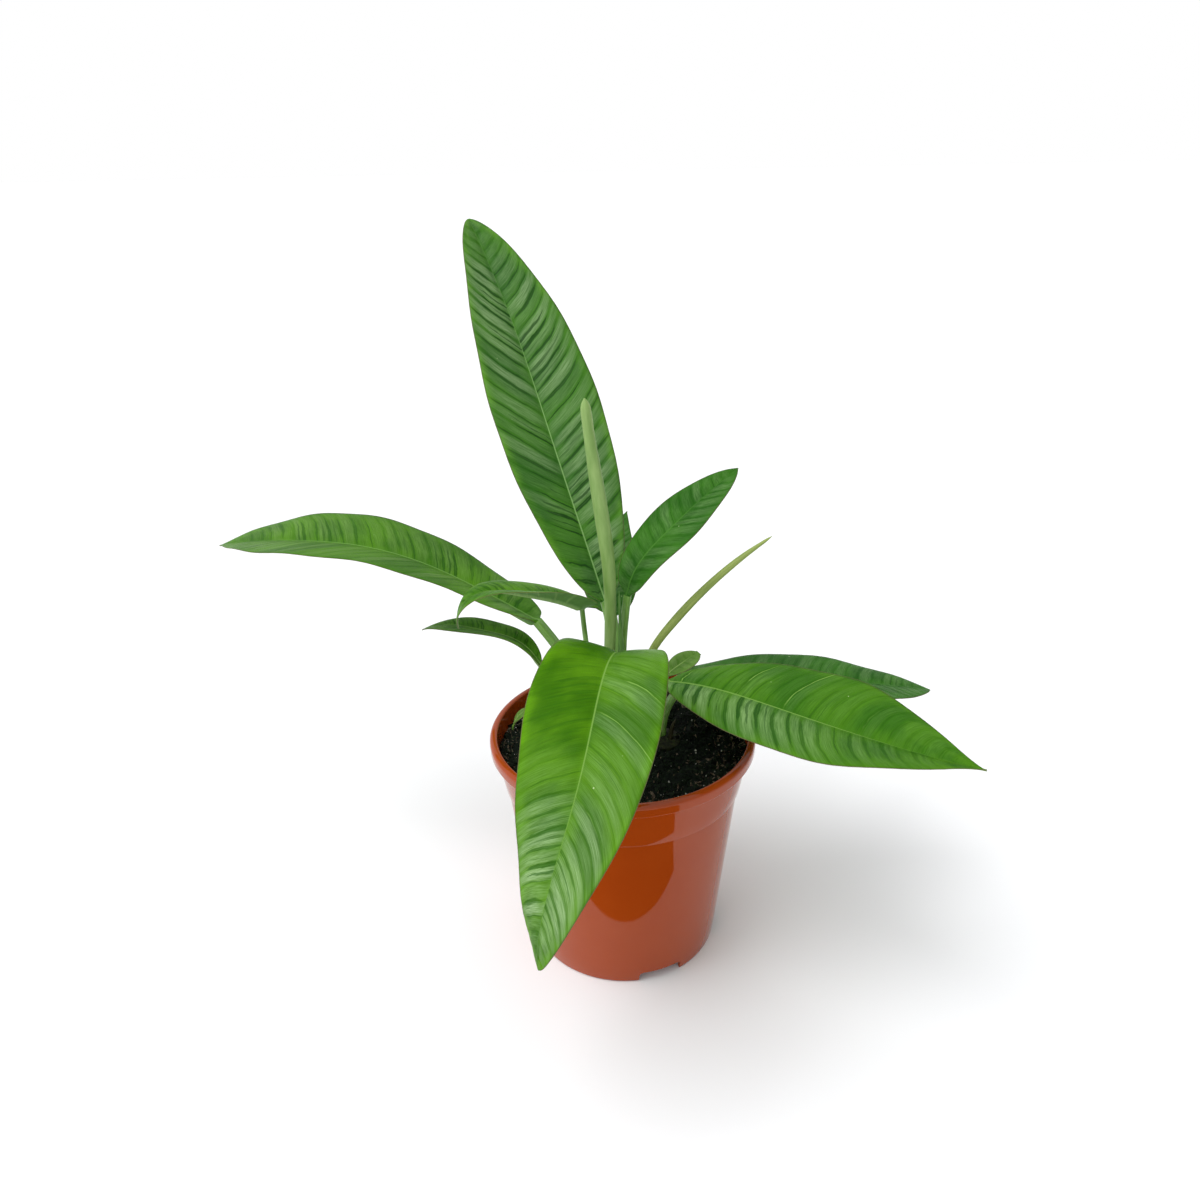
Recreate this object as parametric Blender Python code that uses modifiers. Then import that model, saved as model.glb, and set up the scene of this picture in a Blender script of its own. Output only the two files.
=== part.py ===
"""Potted philodendron: a clump of quilted, lance-shaped leaves in a round plastic nursery pot.

The dimensions below are millimetres and degrees, and the scene is in metres. +X is the plant's
right, +Y its back and +Z up. Everything is laid out from the pot's axis at the floor, and the
last step moves the whole part so that the middle of its box stands over the origin.
"""
from __future__ import annotations

import math
from dataclasses import dataclass

import bmesh
import bpy
import numpy as np
from mathutils import Vector

MM = 0.001                      # one millimetre in metres
TOUCH = 0.3                     # gap between pieces that touch

# Pot
POT_RADIUS = 70.0               # outside of the rolled lip
POT_HEIGHT = 127.3
POT_WALL = 1.6
LIP_HEIGHT = 6.8                # depth of the rolled lip
LIP_STEP = 2.2                  # how far the lip stands out from the collar
COLLAR_FOOT_Z = 99.0            # lower edge of the flared collar
COLLAR_TOP_RADIUS = 67.2
COLLAR_FOOT_RADIUS = 63.0
COLLAR_STEP = 1.1               # step in under the collar
FOOT_RADIUS = 51.2
FLOOR_Z = 6.5                   # underside of the pot's floor, inside the foot ring
FOOT_RING_WIDTH = 2.4
POT_STEPS = 48
NOTCH_WIDTH = 24.0              # openings in the foot ring that let water out
NOTCH_HEIGHT = 6.2
NOTCH_ANGLES = (-69.0, -3.0, 111.0, 177.0)
DRAIN_RADIUS = 4.0              # round holes in the floor
DRAIN_CIRCLE = 33.0
DRAIN_COUNT = 6

# Soil
SOIL_Z = 118.2                  # mean level of the surface
SOIL_BUMP = 1.1
SOIL_STEPS = 36
SOIL_RINGS = (12.0, 22.0, 32.0, 42.0, 52.0, 60.0)

# Crowns: the short stems that carry the leaves
CROWN_DEPTH = 14.0              # how far a crown goes into the soil
CROWN_DOME = 2.4                # how far its top rises over its edge
CROWN_EDGE_Z = 118.6
SOCKET_DEPTH = 7.0              # how far a leaf's stalk goes into its crown
CROWN_STEPS = 28

# Blades
BLADE_THICKNESS = 0.8
MARGIN_CURL = 15.0              # how much flatter a half blade lies at its margin than at its midrib
QUILT = 0.55                    # height of the swelling between two lateral veins
VEIN_SLANT = 0.30               # how far a lateral vein runs forward on its way to the margin
LOBE_PLACE = 0.05               # where a basal lobe reaches furthest back, along the blade
ACROSS = (1.0, 0.5, 0.0, -0.5, -1.0)    # grid lines across a blade, from its left to its right margin
RIB_SHARE = 0.62                # depth of the midrib under the blade, as a share of its stalk
WAVE_LENGTH = 46.0              # from crest to crest of the waves along a margin
RELIEF_FADE = 12.0              # half width under which the relief grows fainter
STALK_RINGS = 7
STALK_TAPER = 0.12
STALK_CHANNEL = 0.62            # how flat the upper side of a stalk is


@dataclass(frozen=True)
class Leaf:
    """A leaf on its stalk. Angles at the blade's base, along it and at its tip, in that order."""

    name: str
    colour: tuple[float, float, float]
    root: tuple[float, float]                       # where its stalk stands
    base: tuple[float, float, float]                # where stalk and blade meet
    length: float                                   # of the blade along its midrib
    width: float
    heading: tuple[float, float, float]             # direction seen from above, 0 along +X
    climb: tuple[float, float, float, float]        # slope at 0, 1/5, 3/5 and all of the length
    widest: float                                   # place of the greatest width
    fullness: tuple[float, float]                   # outline to the base and to the tip: less is fuller
    roll: tuple[float, float]                       # turn about the midrib, + raises the left half
    fold_left: tuple[float, float]                  # rise of each half from the midrib
    fold_right: tuple[float, float]
    veins: int                                      # lateral veins on each side
    stalk: float                                    # diameter of the stalk
    lobes: tuple[float, float] = (0.0, 0.0)         # reach of the left and right basal lobes
    wave: float = 1.0                               # height of the waves along the margins
    reach: tuple[float, float] = (0.45, 0.4)        # how long the stalk holds its end directions
    stalk_climb: float | None = None                # slope of the stalk's end, if not the blade's
    sink: float = SOCKET_DEPTH
    tip_width: float = 1.2


@dataclass(frozen=True)
class Spear:
    """A leaf still rolled up: points along its middle, with the diameter at each."""

    name: str
    colour: tuple[float, float, float]
    points: tuple[tuple[float, float, float, float], ...]
    sides: int = 5


GREEN_DEEP = (0.075, 0.215, 0.026)
GREEN_MID = (0.098, 0.262, 0.030)
GREEN_BRIGHT = (0.130, 0.325, 0.034)
GREEN_SPEAR = (0.262, 0.402, 0.112)
OLIVE = (0.175, 0.230, 0.040)

MAIN_LEAVES = (
    Leaf("leaf_upright", GREEN_MID, root=(-12.6, 9.6), base=(-8, 25, 189.5), length=222, width=65.5,
         heading=(123, 121, 133), climb=(59, 55.5, 56, 53), widest=0.47, fullness=(0.55, 0.59),
         roll=(2, -6), fold_left=(17, 24), fold_right=(17, 22), veins=26, stalk=5.6),
    Leaf("leaf_behind", GREEN_DEEP, root=(-3.8, 11.2), base=(-3, 51.5, 168.5), length=107, width=33,
         heading=(96, 84, 72), climb=(25, 8.5, 15, 16), widest=0.34, fullness=(0.60, 0.87),
         roll=(1, -1), fold_left=(14, 3), fold_right=(19, 9), veins=14, stalk=4.4),
    Leaf("leaf_right_rear", GREEN_DEEP, root=(0.6, 7.4), base=(3, 0.5, 204), length=94.5, width=31,
         heading=(41, 36, 45), climb=(80, 42, 28, 15), widest=0.45, fullness=(0.56, 0.76),
         roll=(-2, 7), fold_left=(10, 22), fold_right=(2, 12), veins=13, stalk=5.0),
    Leaf("leaf_left_long", GREEN_MID, root=(-16.6, 3.5), base=(-43.5, 25, 179), length=228,
         width=60, heading=(155, 160, 139), climb=(20.5, 19.4, -4.4, -19), widest=0.53,
         fullness=(0.38, 1.07), roll=(9, -12), fold_left=(17, 18), fold_right=(12, 23), veins=26,
         stalk=7.4, lobes=(0, 4), stalk_climb=46),
    Leaf("leaf_left_low", GREEN_MID, root=(-17.6, -3.4), base=(-42.5, 15.5, 157), length=104.5,
         width=20.5, heading=(136, 140, 136), climb=(50, 6, -10, -31), widest=0.47,
         fullness=(0.59, 1.0), roll=(12, -14), fold_left=(26, 7), fold_right=(19, 12), veins=13,
         stalk=3.2, wave=0.5),
    Leaf("leaf_left_folded", GREEN_DEEP, root=(-13.2, -9.4), base=(-19, -9.5, 201.7), length=75.5,
         width=38, heading=(180, 194, 184), climb=(28, 18, 5, -104), widest=0.36,
         fullness=(0.42, 0.80), roll=(26, 2), fold_left=(28, 2), fold_right=(30, 4), veins=11,
         stalk=3.6, lobes=(8, 15), stalk_climb=86),
    Leaf("leaf_front", GREEN_BRIGHT, root=(-4.4, -10.8), base=(-0.5, -20, 181), length=182,
         width=61, heading=(-104, -104.5, -148), climb=(43, -3.5, -39, -92), widest=0.34,
         fullness=(0.52, 0.62), roll=(4, 2), fold_left=(12, 1), fold_right=(24, -2), veins=23,
         stalk=5.6, lobes=(0, 4.5)),
)
SIDE_LEAVES = (
    Leaf("leaf_right_front", GREEN_BRIGHT, root=(16.2, -1.2), base=(23, -2.4, 156.2), length=159,
         width=74, heading=(-34, -26, -23), climb=(15, -1, -7.5, -2), widest=0.55,
         fullness=(0.54, 1.2), roll=(5, -4), fold_left=(11, 27), fold_right=(0, 22), veins=21,
         stalk=5.2, reach=(0.6, 0.4)),
    Leaf("leaf_right_back", GREEN_MID, root=(20.5, 4.5), base=(31.5, 14.5, 143), length=157,
         width=56, heading=(15, 10, 26), climb=(-6, -2, -12, -21), widest=0.39,
         fullness=(0.32, 0.75), roll=(-7, 7), fold_left=(13, 10), fold_right=(13, 11), veins=20,
         stalk=6.2, reach=(0.25, 0.5), stalk_climb=44),
    Leaf("leaf_small_blunt", GREEN_DEEP, root=(17.5, 9.8), base=(23.4, 9.6, 152.5), length=22,
         width=17, heading=(23, 23, 23), climb=(42, 32, 24, 16), widest=0.55, fullness=(0.6, 0.5),
         roll=(0, 0), fold_left=(12, 8), fold_right=(12, 8), veins=5, stalk=2.8, wave=0.3,
         tip_width=5.0),
)
SEEDLING = Leaf("leaf_tiny", GREEN_MID, root=(-59.6, 15.8), base=(-58.6, 16.2, 121.5), length=13,
                width=7, heading=(20, 20, 20), climb=(70, 52, 34, 20), widest=0.5,
                fullness=(0.6, 0.8), roll=(0, 0), fold_left=(10, 6), fold_right=(10, 6), veins=3,
                stalk=1.6, wave=0.0, sink=5.0)
MAIN_SPEARS = (
    Spear("spear_centre", GREEN_SPEAR,
          points=((-8.5, -2.0, 111.4, 4.4), (-8.5, -2.0, 126, 4.4), (-7.3, -3.2, 152, 5.4),
                  (-5.8, -4.2, 182, 6.0), (-5.4, -4.2, 204, 6.2), (-6.2, -4.1, 225, 7.0),
                  (-8.4, -3.7, 244, 7.4), (-11.0, -3.4, 264, 7.0), (-13.9, -3.1, 286, 5.6),
                  (-15.4, -2.9, 300, 4.8), (-15.8, -2.9, 304, 2.4))),
    Spear("spear_right", GREEN_SPEAR,
          points=((3.8, 0.8, 111.4, 3.6), (3.8, 0.8, 124, 3.6), (7.2, 2.4, 145, 3.6),
                  (12.8, 4.6, 164, 3.8), (18.4, 6.3, 174, 4.2), (28.6, 9.2, 186.4, 4.6),
                  (42.8, 13.8, 200.2, 4.2), (62.2, 20.2, 215.0, 3.2), (78.3, 25.5, 224.5, 1.2))),
    Spear("bract_centre", OLIVE,
          points=((-1.4, -5.0, 111.4, 2.8), (-1.4, -5.0, 124, 3.0), (-0.7, -5.4, 150, 3.8),
                  (-0.4, -6.0, 178, 2.8), (-1.1, -7.0, 210, 0.8)), sides=3),
)
SIDE_SPEARS = (
    Spear("bract_side", OLIVE,
          points=((25.6, 0.6, 111.4, 2.8), (25.6, 0.6, 121, 2.8), (26.6, -0.6, 128, 2.2),
                  (28.2, -2.0, 134, 0.9)), sides=3),
)
MAIN_CROWN = ("crown_main", (-7.0, 0.0), 15.2)
SIDE_CROWN = ("crown_side", (21.0, 3.0), 10.5)


def colour_material(name: str, rgb: tuple[float, float, float], roughness: float) -> bpy.types.Material:
    """A plain finish of one colour."""
    material = bpy.data.materials.new(name)
    material.use_nodes = True
    surface = material.node_tree.nodes["Principled BSDF"]
    surface.inputs["Base Color"].default_value = (*rgb, 1.0)
    surface.inputs["Roughness"].default_value = roughness
    surface.inputs["Metallic"].default_value = 0.0
    material.diffuse_color = (*rgb, 1.0)
    return material


def add_object(name: str, mesh: bpy.types.Mesh, collection: bpy.types.Collection) -> bpy.types.Object:
    """Put a mesh in a collection as a named object."""
    thing = bpy.data.objects.new(name, mesh)
    collection.objects.link(thing)
    return thing


def finish(thing: bpy.types.Object, rgb: tuple[float, float, float], roughness: float,
           holder: bpy.types.Object) -> None:
    """Give an object its own material, smooth shading and its place under the part's empty."""
    thing.data.materials.append(colour_material(thing.name + "_finish", rgb, roughness))
    thing.data.shade_smooth()
    thing.data.set_sharp_from_angle(angle=math.radians(40))
    thing.parent = holder


def as_cutter(thing: bpy.types.Object) -> bpy.types.Object:
    """Mark an object as a tool that isn't part of the model."""
    thing.hide_render = True
    thing.display_type = "WIRE"
    return thing


def cut(target: bpy.types.Object, cutter: bpy.types.Object) -> None:
    """Take one solid away from another."""
    modifier = target.modifiers.new("cut_" + cutter.name, "BOOLEAN")
    modifier.operation = "DIFFERENCE"
    modifier.object = cutter


def turned(name: str, profile: list[tuple[float, float]], steps: int,
           collection: bpy.types.Collection) -> bpy.types.Object:
    """A solid of revolution from a profile of radius and height in millimetres."""
    mesh = bpy.data.meshes.new(name)
    points = [(radius * MM, 0.0, height * MM) for radius, height in profile]
    mesh.from_pydata(points, [(i, i + 1) for i in range(len(points) - 1)], [])
    thing = add_object(name, mesh, collection)
    screw = thing.modifiers.new("turn", "SCREW")
    screw.steps = steps
    screw.render_steps = steps
    screw.use_merge_vertices = True
    screw.merge_threshold = 0.00005
    return thing


def peg(name: str, place: tuple[float, float, float], radius: float, height: float, sides: int,
        collection: bpy.types.Collection) -> bpy.types.Object:
    """An upright cylinder that stands on the given place."""
    mesh = bpy.data.meshes.new(name)
    shape = bmesh.new()
    bmesh.ops.create_cone(shape, cap_ends=True, segments=sides, radius1=radius * MM,
                          radius2=radius * MM, depth=height * MM)
    bmesh.ops.translate(shape, verts=shape.verts, vec=(0.0, 0.0, height * MM / 2))
    shape.to_mesh(mesh)
    shape.free()
    thing = add_object(name, mesh, collection)
    thing.location = Vector(place) * MM
    return thing


def wall_radius(height: float) -> float:
    """Outside radius of the pot below its lip."""
    if height >= COLLAR_FOOT_Z:
        share = (height - COLLAR_FOOT_Z) / (POT_HEIGHT - LIP_HEIGHT - COLLAR_FOOT_Z)
        return COLLAR_FOOT_RADIUS + (COLLAR_TOP_RADIUS - COLLAR_FOOT_RADIUS) * min(share, 1.0)
    top = COLLAR_FOOT_RADIUS - COLLAR_STEP
    return FOOT_RADIUS + (top - FOOT_RADIUS) * height / COLLAR_FOOT_Z


def pot_profile() -> list[tuple[float, float]]:
    """The pot's section: up the inside from the axis, over the lip, down the outside, and back."""
    lip_foot = POT_HEIGHT - LIP_HEIGHT
    floor_top = FLOOR_Z + POT_WALL
    inside = [(wall_radius(z) - POT_WALL, z) for z in (floor_top + 1.5, 97.0, 101.5, lip_foot)]
    lip = [(POT_RADIUS - LIP_STEP - 1.9, POT_HEIGHT - 0.9), (POT_RADIUS - LIP_STEP - 1.0, POT_HEIGHT),
           (POT_RADIUS - 1.5, POT_HEIGHT), (POT_RADIUS - 0.4, POT_HEIGHT - 0.9),
           (POT_RADIUS, POT_HEIGHT - 2.8), (POT_RADIUS - 0.2, lip_foot + 1.0),
           (POT_RADIUS - 1.0, lip_foot), (COLLAR_TOP_RADIUS, lip_foot - 0.6)]
    outside = [(wall_radius(z), z) for z in (COLLAR_FOOT_Z, COLLAR_FOOT_Z - 0.8, 1.2)]
    foot = [(FOOT_RADIUS - 0.9, 0.0), (FOOT_RADIUS - FOOT_RING_WIDTH, 0.0),
            (FOOT_RADIUS - FOOT_RING_WIDTH, FLOOR_Z), (0.0, FLOOR_Z)]
    start = [(0.0, floor_top), (inside[0][0] - 1.5, floor_top)]
    return start + inside + lip + outside + foot


def build_pot(parts: bpy.types.Collection, cutters: bpy.types.Collection) -> bpy.types.Object:
    """The pot, with notches in its foot ring and drain holes in its floor."""
    pot = turned("pot", pot_profile(), POT_STEPS, parts)
    for index, angle in enumerate(NOTCH_ANGLES):
        bpy.ops.mesh.primitive_cube_add(size=1.0)
        notch = bpy.context.active_object
        notch.name = f"notch_{index}"
        for owner in list(notch.users_collection):
            owner.objects.unlink(notch)
        cutters.objects.link(notch)
        turn = math.radians(angle)
        middle = FOOT_RADIUS - FOOT_RING_WIDTH / 2
        notch.scale = (10.0 * MM, NOTCH_WIDTH * MM, 2 * NOTCH_HEIGHT * MM)
        notch.location = (middle * MM * math.cos(turn), middle * MM * math.sin(turn), 0.0)
        notch.rotation_euler = (0.0, 0.0, turn)
        cut(pot, as_cutter(notch))
    for index in range(DRAIN_COUNT):
        turn = math.tau * (index + 0.5) / DRAIN_COUNT
        place = (DRAIN_CIRCLE * math.cos(turn), DRAIN_CIRCLE * math.sin(turn), FLOOR_Z - 3.0)
        cut(pot, as_cutter(peg(f"drain_{index}", place, DRAIN_RADIUS, POT_WALL + 6.0, 16, cutters)))
    return pot


def soil_height(x: float, y: float) -> float:
    """The uneven surface of the soil: a few crossed ripples round its mean level."""
    ripple = math.sin(0.21 * x + 1.3) * math.cos(0.17 * y) + 0.6 * math.sin(0.37 * y - 0.23 * x + 0.4)
    return SOIL_Z + SOIL_BUMP * ripple * min(1.0, math.hypot(x, y) / 30.0)


def build_soil(parts: bpy.types.Collection, cutters: bpy.types.Collection) -> bpy.types.Object:
    """The soil that fills the pot, with holes where the crowns and the seedling stand."""
    foot_z = FLOOR_Z + POT_WALL + TOUCH
    sides = (SOIL_Z - 1.5, 101.5, 97.0, foot_z + 2.0)
    inner = [(wall_radius(z) - POT_WALL - TOUCH, z) for z in sides]
    profile = [(0.0, SOIL_Z)] + [(radius, SOIL_Z) for radius in SOIL_RINGS]
    profile += inner + [(inner[-1][0] - 2.0, foot_z), (0.0, foot_z)]
    outline = turned("soil_outline", profile, SOIL_STEPS, cutters)
    graph = bpy.context.evaluated_depsgraph_get()
    mesh = bpy.data.meshes.new_from_object(outline.evaluated_get(graph))
    bpy.data.objects.remove(outline)
    mesh.name = "soil"
    for vertex in mesh.vertices:
        if vertex.co.z > (SOIL_Z - 1.0) * MM:
            vertex.co.z = soil_height(vertex.co.x / MM, vertex.co.y / MM) * MM
    soil = add_object("soil", mesh, parts)
    for name, (x, y), radius in (MAIN_CROWN, SIDE_CROWN):
        place = (x, y, CROWN_EDGE_Z - CROWN_DEPTH - TOUCH)
        socket = peg(name + "_socket", place, radius + TOUCH, 2 * CROWN_DEPTH, CROWN_STEPS, cutters)
        cut(soil, as_cutter(socket))
    place = (*SEEDLING.root, SOIL_Z - SEEDLING.sink - TOUCH)
    hole = peg("seedling_socket", place, SEEDLING.stalk / 2 + TOUCH, 14.0, 10, cutters)
    cut(soil, as_cutter(hole))
    return soil


def build_crown(crown: tuple, sockets: list[tuple[float, float, float]],
                parts: bpy.types.Collection, cutters: bpy.types.Collection) -> bpy.types.Object:
    """A short stem with a low domed top and a plain hole for each stalk."""
    name, (x, y), radius = crown
    edge = CROWN_EDGE_Z
    dome = [(radius * share, edge + CROWN_DOME * (1 - share ** 2)) for share in (0.0, 0.45, 0.8)]
    profile = dome + [(radius, edge), (radius, edge - CROWN_DEPTH + 2.0),
                      (radius - 2.0, edge - CROWN_DEPTH), (0.0, edge - CROWN_DEPTH)]
    thing = turned(name, profile, CROWN_STEPS, parts)
    thing.location = (x * MM, y * MM, 0.0)
    for index, (hole_x, hole_y, width) in enumerate(sockets):
        place = (hole_x, hole_y, edge - SOCKET_DEPTH - TOUCH)
        hole = peg(f"{name}_hole_{index}", place, width / 2 + TOUCH, 20.0, 12, cutters)
        cut(thing, as_cutter(hole))
    return thing


def ease(places: list[float], values, x: np.ndarray) -> np.ndarray:
    """A smooth curve through a few values, in cubic pieces."""
    places = np.asarray(places, float)
    values = np.asarray(values, float)
    steps = np.diff(places)
    slopes = np.diff(values) / steps
    lean = np.empty(len(places))
    lean[0] = slopes[0]
    lean[-1] = slopes[-1]
    lean[1:-1] = (slopes[:-1] * steps[1:] + slopes[1:] * steps[:-1]) / (steps[1:] + steps[:-1])
    piece = np.clip(np.searchsorted(places, x, side="right") - 1, 0, len(steps) - 1)
    width = steps[piece]
    part = (x - places[piece]) / width
    rise = 3 * part ** 2 - 2 * part ** 3
    return (values[piece] * (1 - rise) + values[piece + 1] * rise
            + width * lean[piece] * (part - 2 * part ** 2 + part ** 3)
            + width * lean[piece + 1] * (part ** 3 - part ** 2))


class Midrib:
    """A blade's middle line in millimetres, with the directions along, across and up from it."""

    SAMPLES = 161

    def __init__(self, leaf: Leaf) -> None:
        share = np.linspace(0.0, 1.0, self.SAMPLES)
        climb = np.radians(ease([0.0, 0.2, 0.6, 1.0], leaf.climb, share))
        heading = np.radians(ease([0.0, 0.5, 1.0], leaf.heading, share))
        roll = np.radians(leaf.roll[0] + (leaf.roll[1] - leaf.roll[0]) * share)[:, None]
        self.share = share
        self.along = np.stack([np.cos(climb) * np.cos(heading), np.cos(climb) * np.sin(heading),
                               np.sin(climb)], axis=1)
        step = leaf.length / (self.SAMPLES - 1)
        middle = (self.along[1:] + self.along[:-1]) / 2 * step
        self.place = np.asarray(leaf.base) + np.vstack([np.zeros(3), np.cumsum(middle, axis=0)])
        level = np.stack([-np.sin(heading), np.cos(heading), np.zeros_like(heading)], axis=1)
        upright = np.cross(self.along, level)
        self.across = np.cos(roll) * level + np.sin(roll) * upright
        self.up = np.cos(roll) * upright - np.sin(roll) * level

    def read(self, values: np.ndarray, share: float) -> np.ndarray:
        """One of the midrib's quantities at a share of the blade's length."""
        return np.array([np.interp(share, self.share, column) for column in values.T])


def half_width(leaf: Leaf, share: float) -> float:
    """Half the blade's width at a share of its length."""
    share = min(max(share, 0.0), 1.0)
    swell = math.sin(math.pi * share ** (math.log(0.5) / math.log(leaf.widest)))
    power = leaf.fullness[0] if share < leaf.widest else leaf.fullness[1]
    return max(leaf.width / 2 * max(swell, 0.0) ** power, leaf.tip_width / 2)


def blade_point(leaf: Leaf, rib: Midrib, share: float, across: float,
                ridge: bool) -> tuple[np.ndarray, np.ndarray, float]:
    """A point on the blade's middle surface, its normal and the thickness there."""
    side = 1.0 if across >= 0.0 else -1.0
    out = abs(across)
    at = min(share + VEIN_SLANT * share * (1 - share) * out, 1.0)
    lobe = leaf.lobes[0 if side > 0 else 1] * out
    lobe *= share / LOBE_PLACE * math.exp(1 - share / LOBE_PLACE)
    fold = leaf.fold_left if side > 0 else leaf.fold_right
    start = math.radians(fold[0] + (fold[1] - fold[0]) * at)
    curl = math.radians(MARGIN_CURL)
    end = start - curl * out
    half = half_width(leaf, at)
    sideways = half * (math.sin(start) - math.sin(end)) / curl
    rise = half * (math.cos(end) - math.cos(start)) / curl
    reach = at - lobe / leaf.length
    along = rib.read(rib.along, max(reach, 0.0))
    across_way = rib.read(rib.across, max(reach, 0.0)) * side
    up = rib.read(rib.up, max(reach, 0.0))
    point = rib.read(rib.place, max(reach, 0.0)) + along * min(reach, 0.0) * leaf.length
    normal = up * math.cos(end) - across_way * math.sin(end)
    ease_off = min(1.0, half / RELIEF_FADE)
    swelling = QUILT * ease_off * (math.sin(math.pi * out) + 0.35 * out ** 4)
    phase = at * leaf.length / WAVE_LENGTH + 0.2 * side
    waves = leaf.wave * ease_off * out ** 3 * math.sin(math.tau * phase)
    lift = swelling * (0.5 if ridge else -0.5) + waves
    thickness = BLADE_THICKNESS + RIB_SHARE * leaf.stalk * (1 - out) ** 2 * (1 - 0.94 * at)
    return point + across_way * sideways + up * rise + normal * lift, normal, thickness


def stalk_rings(leaf: Leaf, rib: Midrib) -> list[np.ndarray]:
    """Rings of the stalk from its foot in the crown to the blade's base."""
    foot = np.array([*leaf.root, CROWN_EDGE_Z])
    base = np.asarray(leaf.base, float)
    span = np.linalg.norm(base - foot)
    end = rib.along[0]
    if leaf.stalk_climb is not None:
        heading = math.radians(leaf.heading[0])
        climb = math.radians(leaf.stalk_climb)
        end = np.array([math.cos(climb) * math.cos(heading), math.cos(climb) * math.sin(heading),
                        math.sin(climb)])
    first = foot + np.array([0.0, 0.0, span * leaf.reach[0]])
    second = base - end * span * leaf.reach[1]
    across = rib.across[0]
    rings = []
    for index in range(STALK_RINGS, -1, -1):
        t = index / STALK_RINGS
        point = ((1 - t) ** 3 * foot + 3 * (1 - t) ** 2 * t * first
                 + 3 * (1 - t) * t ** 2 * second + t ** 3 * base)
        along = (3 * (1 - t) ** 2 * (first - foot) + 6 * (1 - t) * t * (second - first)
                 + 3 * t ** 2 * (base - second))
        along /= np.linalg.norm(along)
        across = across - along * np.dot(across, along)
        across /= np.linalg.norm(across)
        up = np.cross(along, across)
        radius = leaf.stalk / 2 * (1.0 - STALK_TAPER * t)
        rings.append(stalk_ring(point, across, up, radius))
    buried = rings[-1] - np.array([0.0, 0.0, leaf.sink])
    return [buried] + rings[::-1]


def stalk_ring(point: np.ndarray, across: np.ndarray, up: np.ndarray, radius: float) -> np.ndarray:
    """A stalk's section: round below, and flatter along its channelled upper side."""
    upper = [math.radians(90 - 72 * v) for v in ACROSS]
    lower = [math.radians(270 + 72 * v) for v in reversed(ACROSS)]
    ring = [point + radius * (across * math.cos(a) + up * STALK_CHANNEL * math.sin(a)) for a in upper]
    ring += [point + radius * (across * math.cos(a) + up * math.sin(a)) for a in lower]
    return np.array(ring)


def blade_rings(leaf: Leaf, rib: Midrib) -> list[np.ndarray]:
    """Rings of the blade: the upper face from left to right, then the lower face back."""
    count = 2 * leaf.veins
    rings = []
    for index in range(1, count + 1):
        points = [blade_point(leaf, rib, index / count, v, index % 2 == 1) for v in ACROSS]
        upper = [point + normal * BLADE_THICKNESS / 2 for point, normal, _ in points]
        lower = [point - normal * (thickness - BLADE_THICKNESS / 2) for point, normal, thickness in points]
        rings.append(np.array(upper + lower[::-1]))
    return rings


def loft(name: str, rings: list[np.ndarray], origin: np.ndarray) -> bpy.types.Mesh:
    """A closed mesh through rings that run over the upper face and back under the lower one."""
    size = len(rings[0])
    half = size // 2
    points = [tuple((point - origin) * MM) for ring in rings for point in ring]
    faces = []
    for ring in range(len(rings) - 1):
        for i in range(size):
            j = (i + 1) % size
            a, b = ring * size + i, ring * size + j
            c, d = a + size, b + size
            left = i < half // 2 or i >= size - half // 2 - 1
            if left:
                faces += [(a, b, c), (b, d, c)]
            else:
                faces += [(a, b, d), (a, d, c)]
    last = (len(rings) - 1) * size
    for i in range(half - 1):
        j = size - 1 - i
        faces += [(i, j, i + 1), (i + 1, j, j - 1)]
        faces += [(last + i, last + i + 1, last + j), (last + i + 1, last + j - 1, last + j)]
    mesh = bpy.data.meshes.new(name)
    mesh.from_pydata(points, [], faces)
    mesh.validate()
    shape = bmesh.new()
    shape.from_mesh(mesh)
    bmesh.ops.recalc_face_normals(shape, faces=shape.faces)
    shape.to_mesh(mesh)
    shape.free()
    return mesh


def build_leaf(leaf: Leaf, parts: bpy.types.Collection) -> bpy.types.Object:
    """One leaf: its stalk and its quilted blade in one closed solid, placed at its root."""
    rib = Midrib(leaf)
    origin = np.array([*leaf.root, CROWN_EDGE_Z])
    rings = stalk_rings(leaf, rib) + blade_rings(leaf, rib)
    thing = add_object(leaf.name, loft(leaf.name, rings, origin), parts)
    thing.location = Vector(origin) * MM
    return thing


def build_spear(spear: Spear, parts: bpy.types.Collection) -> bpy.types.Object:
    """A rolled leaf: a curve with its own thickness at each point, made a closed mesh."""
    knots = np.array(spear.points)
    runs = np.linalg.norm(np.diff(knots[:, :3], axis=0), axis=1)
    places = np.concatenate([[0.0], np.cumsum(runs)])
    count = max(8, round(places[-1] / 9.0))
    stations = np.linspace(0.0, places[-1], count)
    columns = [ease(list(places), knots[:, column], stations) for column in range(4)]
    curve = bpy.data.curves.new(spear.name, "CURVE")
    curve.dimensions = "3D"
    curve.bevel_depth = MM
    curve.bevel_resolution = spear.sides - 2
    curve.use_fill_caps = True
    spline = curve.splines.new("POLY")
    spline.points.add(count - 1)
    for point, x, y, z, width in zip(spline.points, *columns):
        point.co = (x * MM, y * MM, z * MM, 1.0)
        point.radius = width / 2
    tube = bpy.data.objects.new(spear.name + "_tube", curve)
    parts.objects.link(tube)
    graph = bpy.context.evaluated_depsgraph_get()
    mesh = bpy.data.meshes.new_from_object(tube.evaluated_get(graph))
    mesh.name = spear.name
    shape = bmesh.new()
    shape.from_mesh(mesh)
    bmesh.ops.remove_doubles(shape, verts=shape.verts, dist=0.00002)
    bmesh.ops.recalc_face_normals(shape, faces=shape.faces)
    shape.to_mesh(mesh)
    shape.free()
    bpy.data.objects.remove(tube)
    return add_object(spear.name, mesh, parts)


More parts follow.
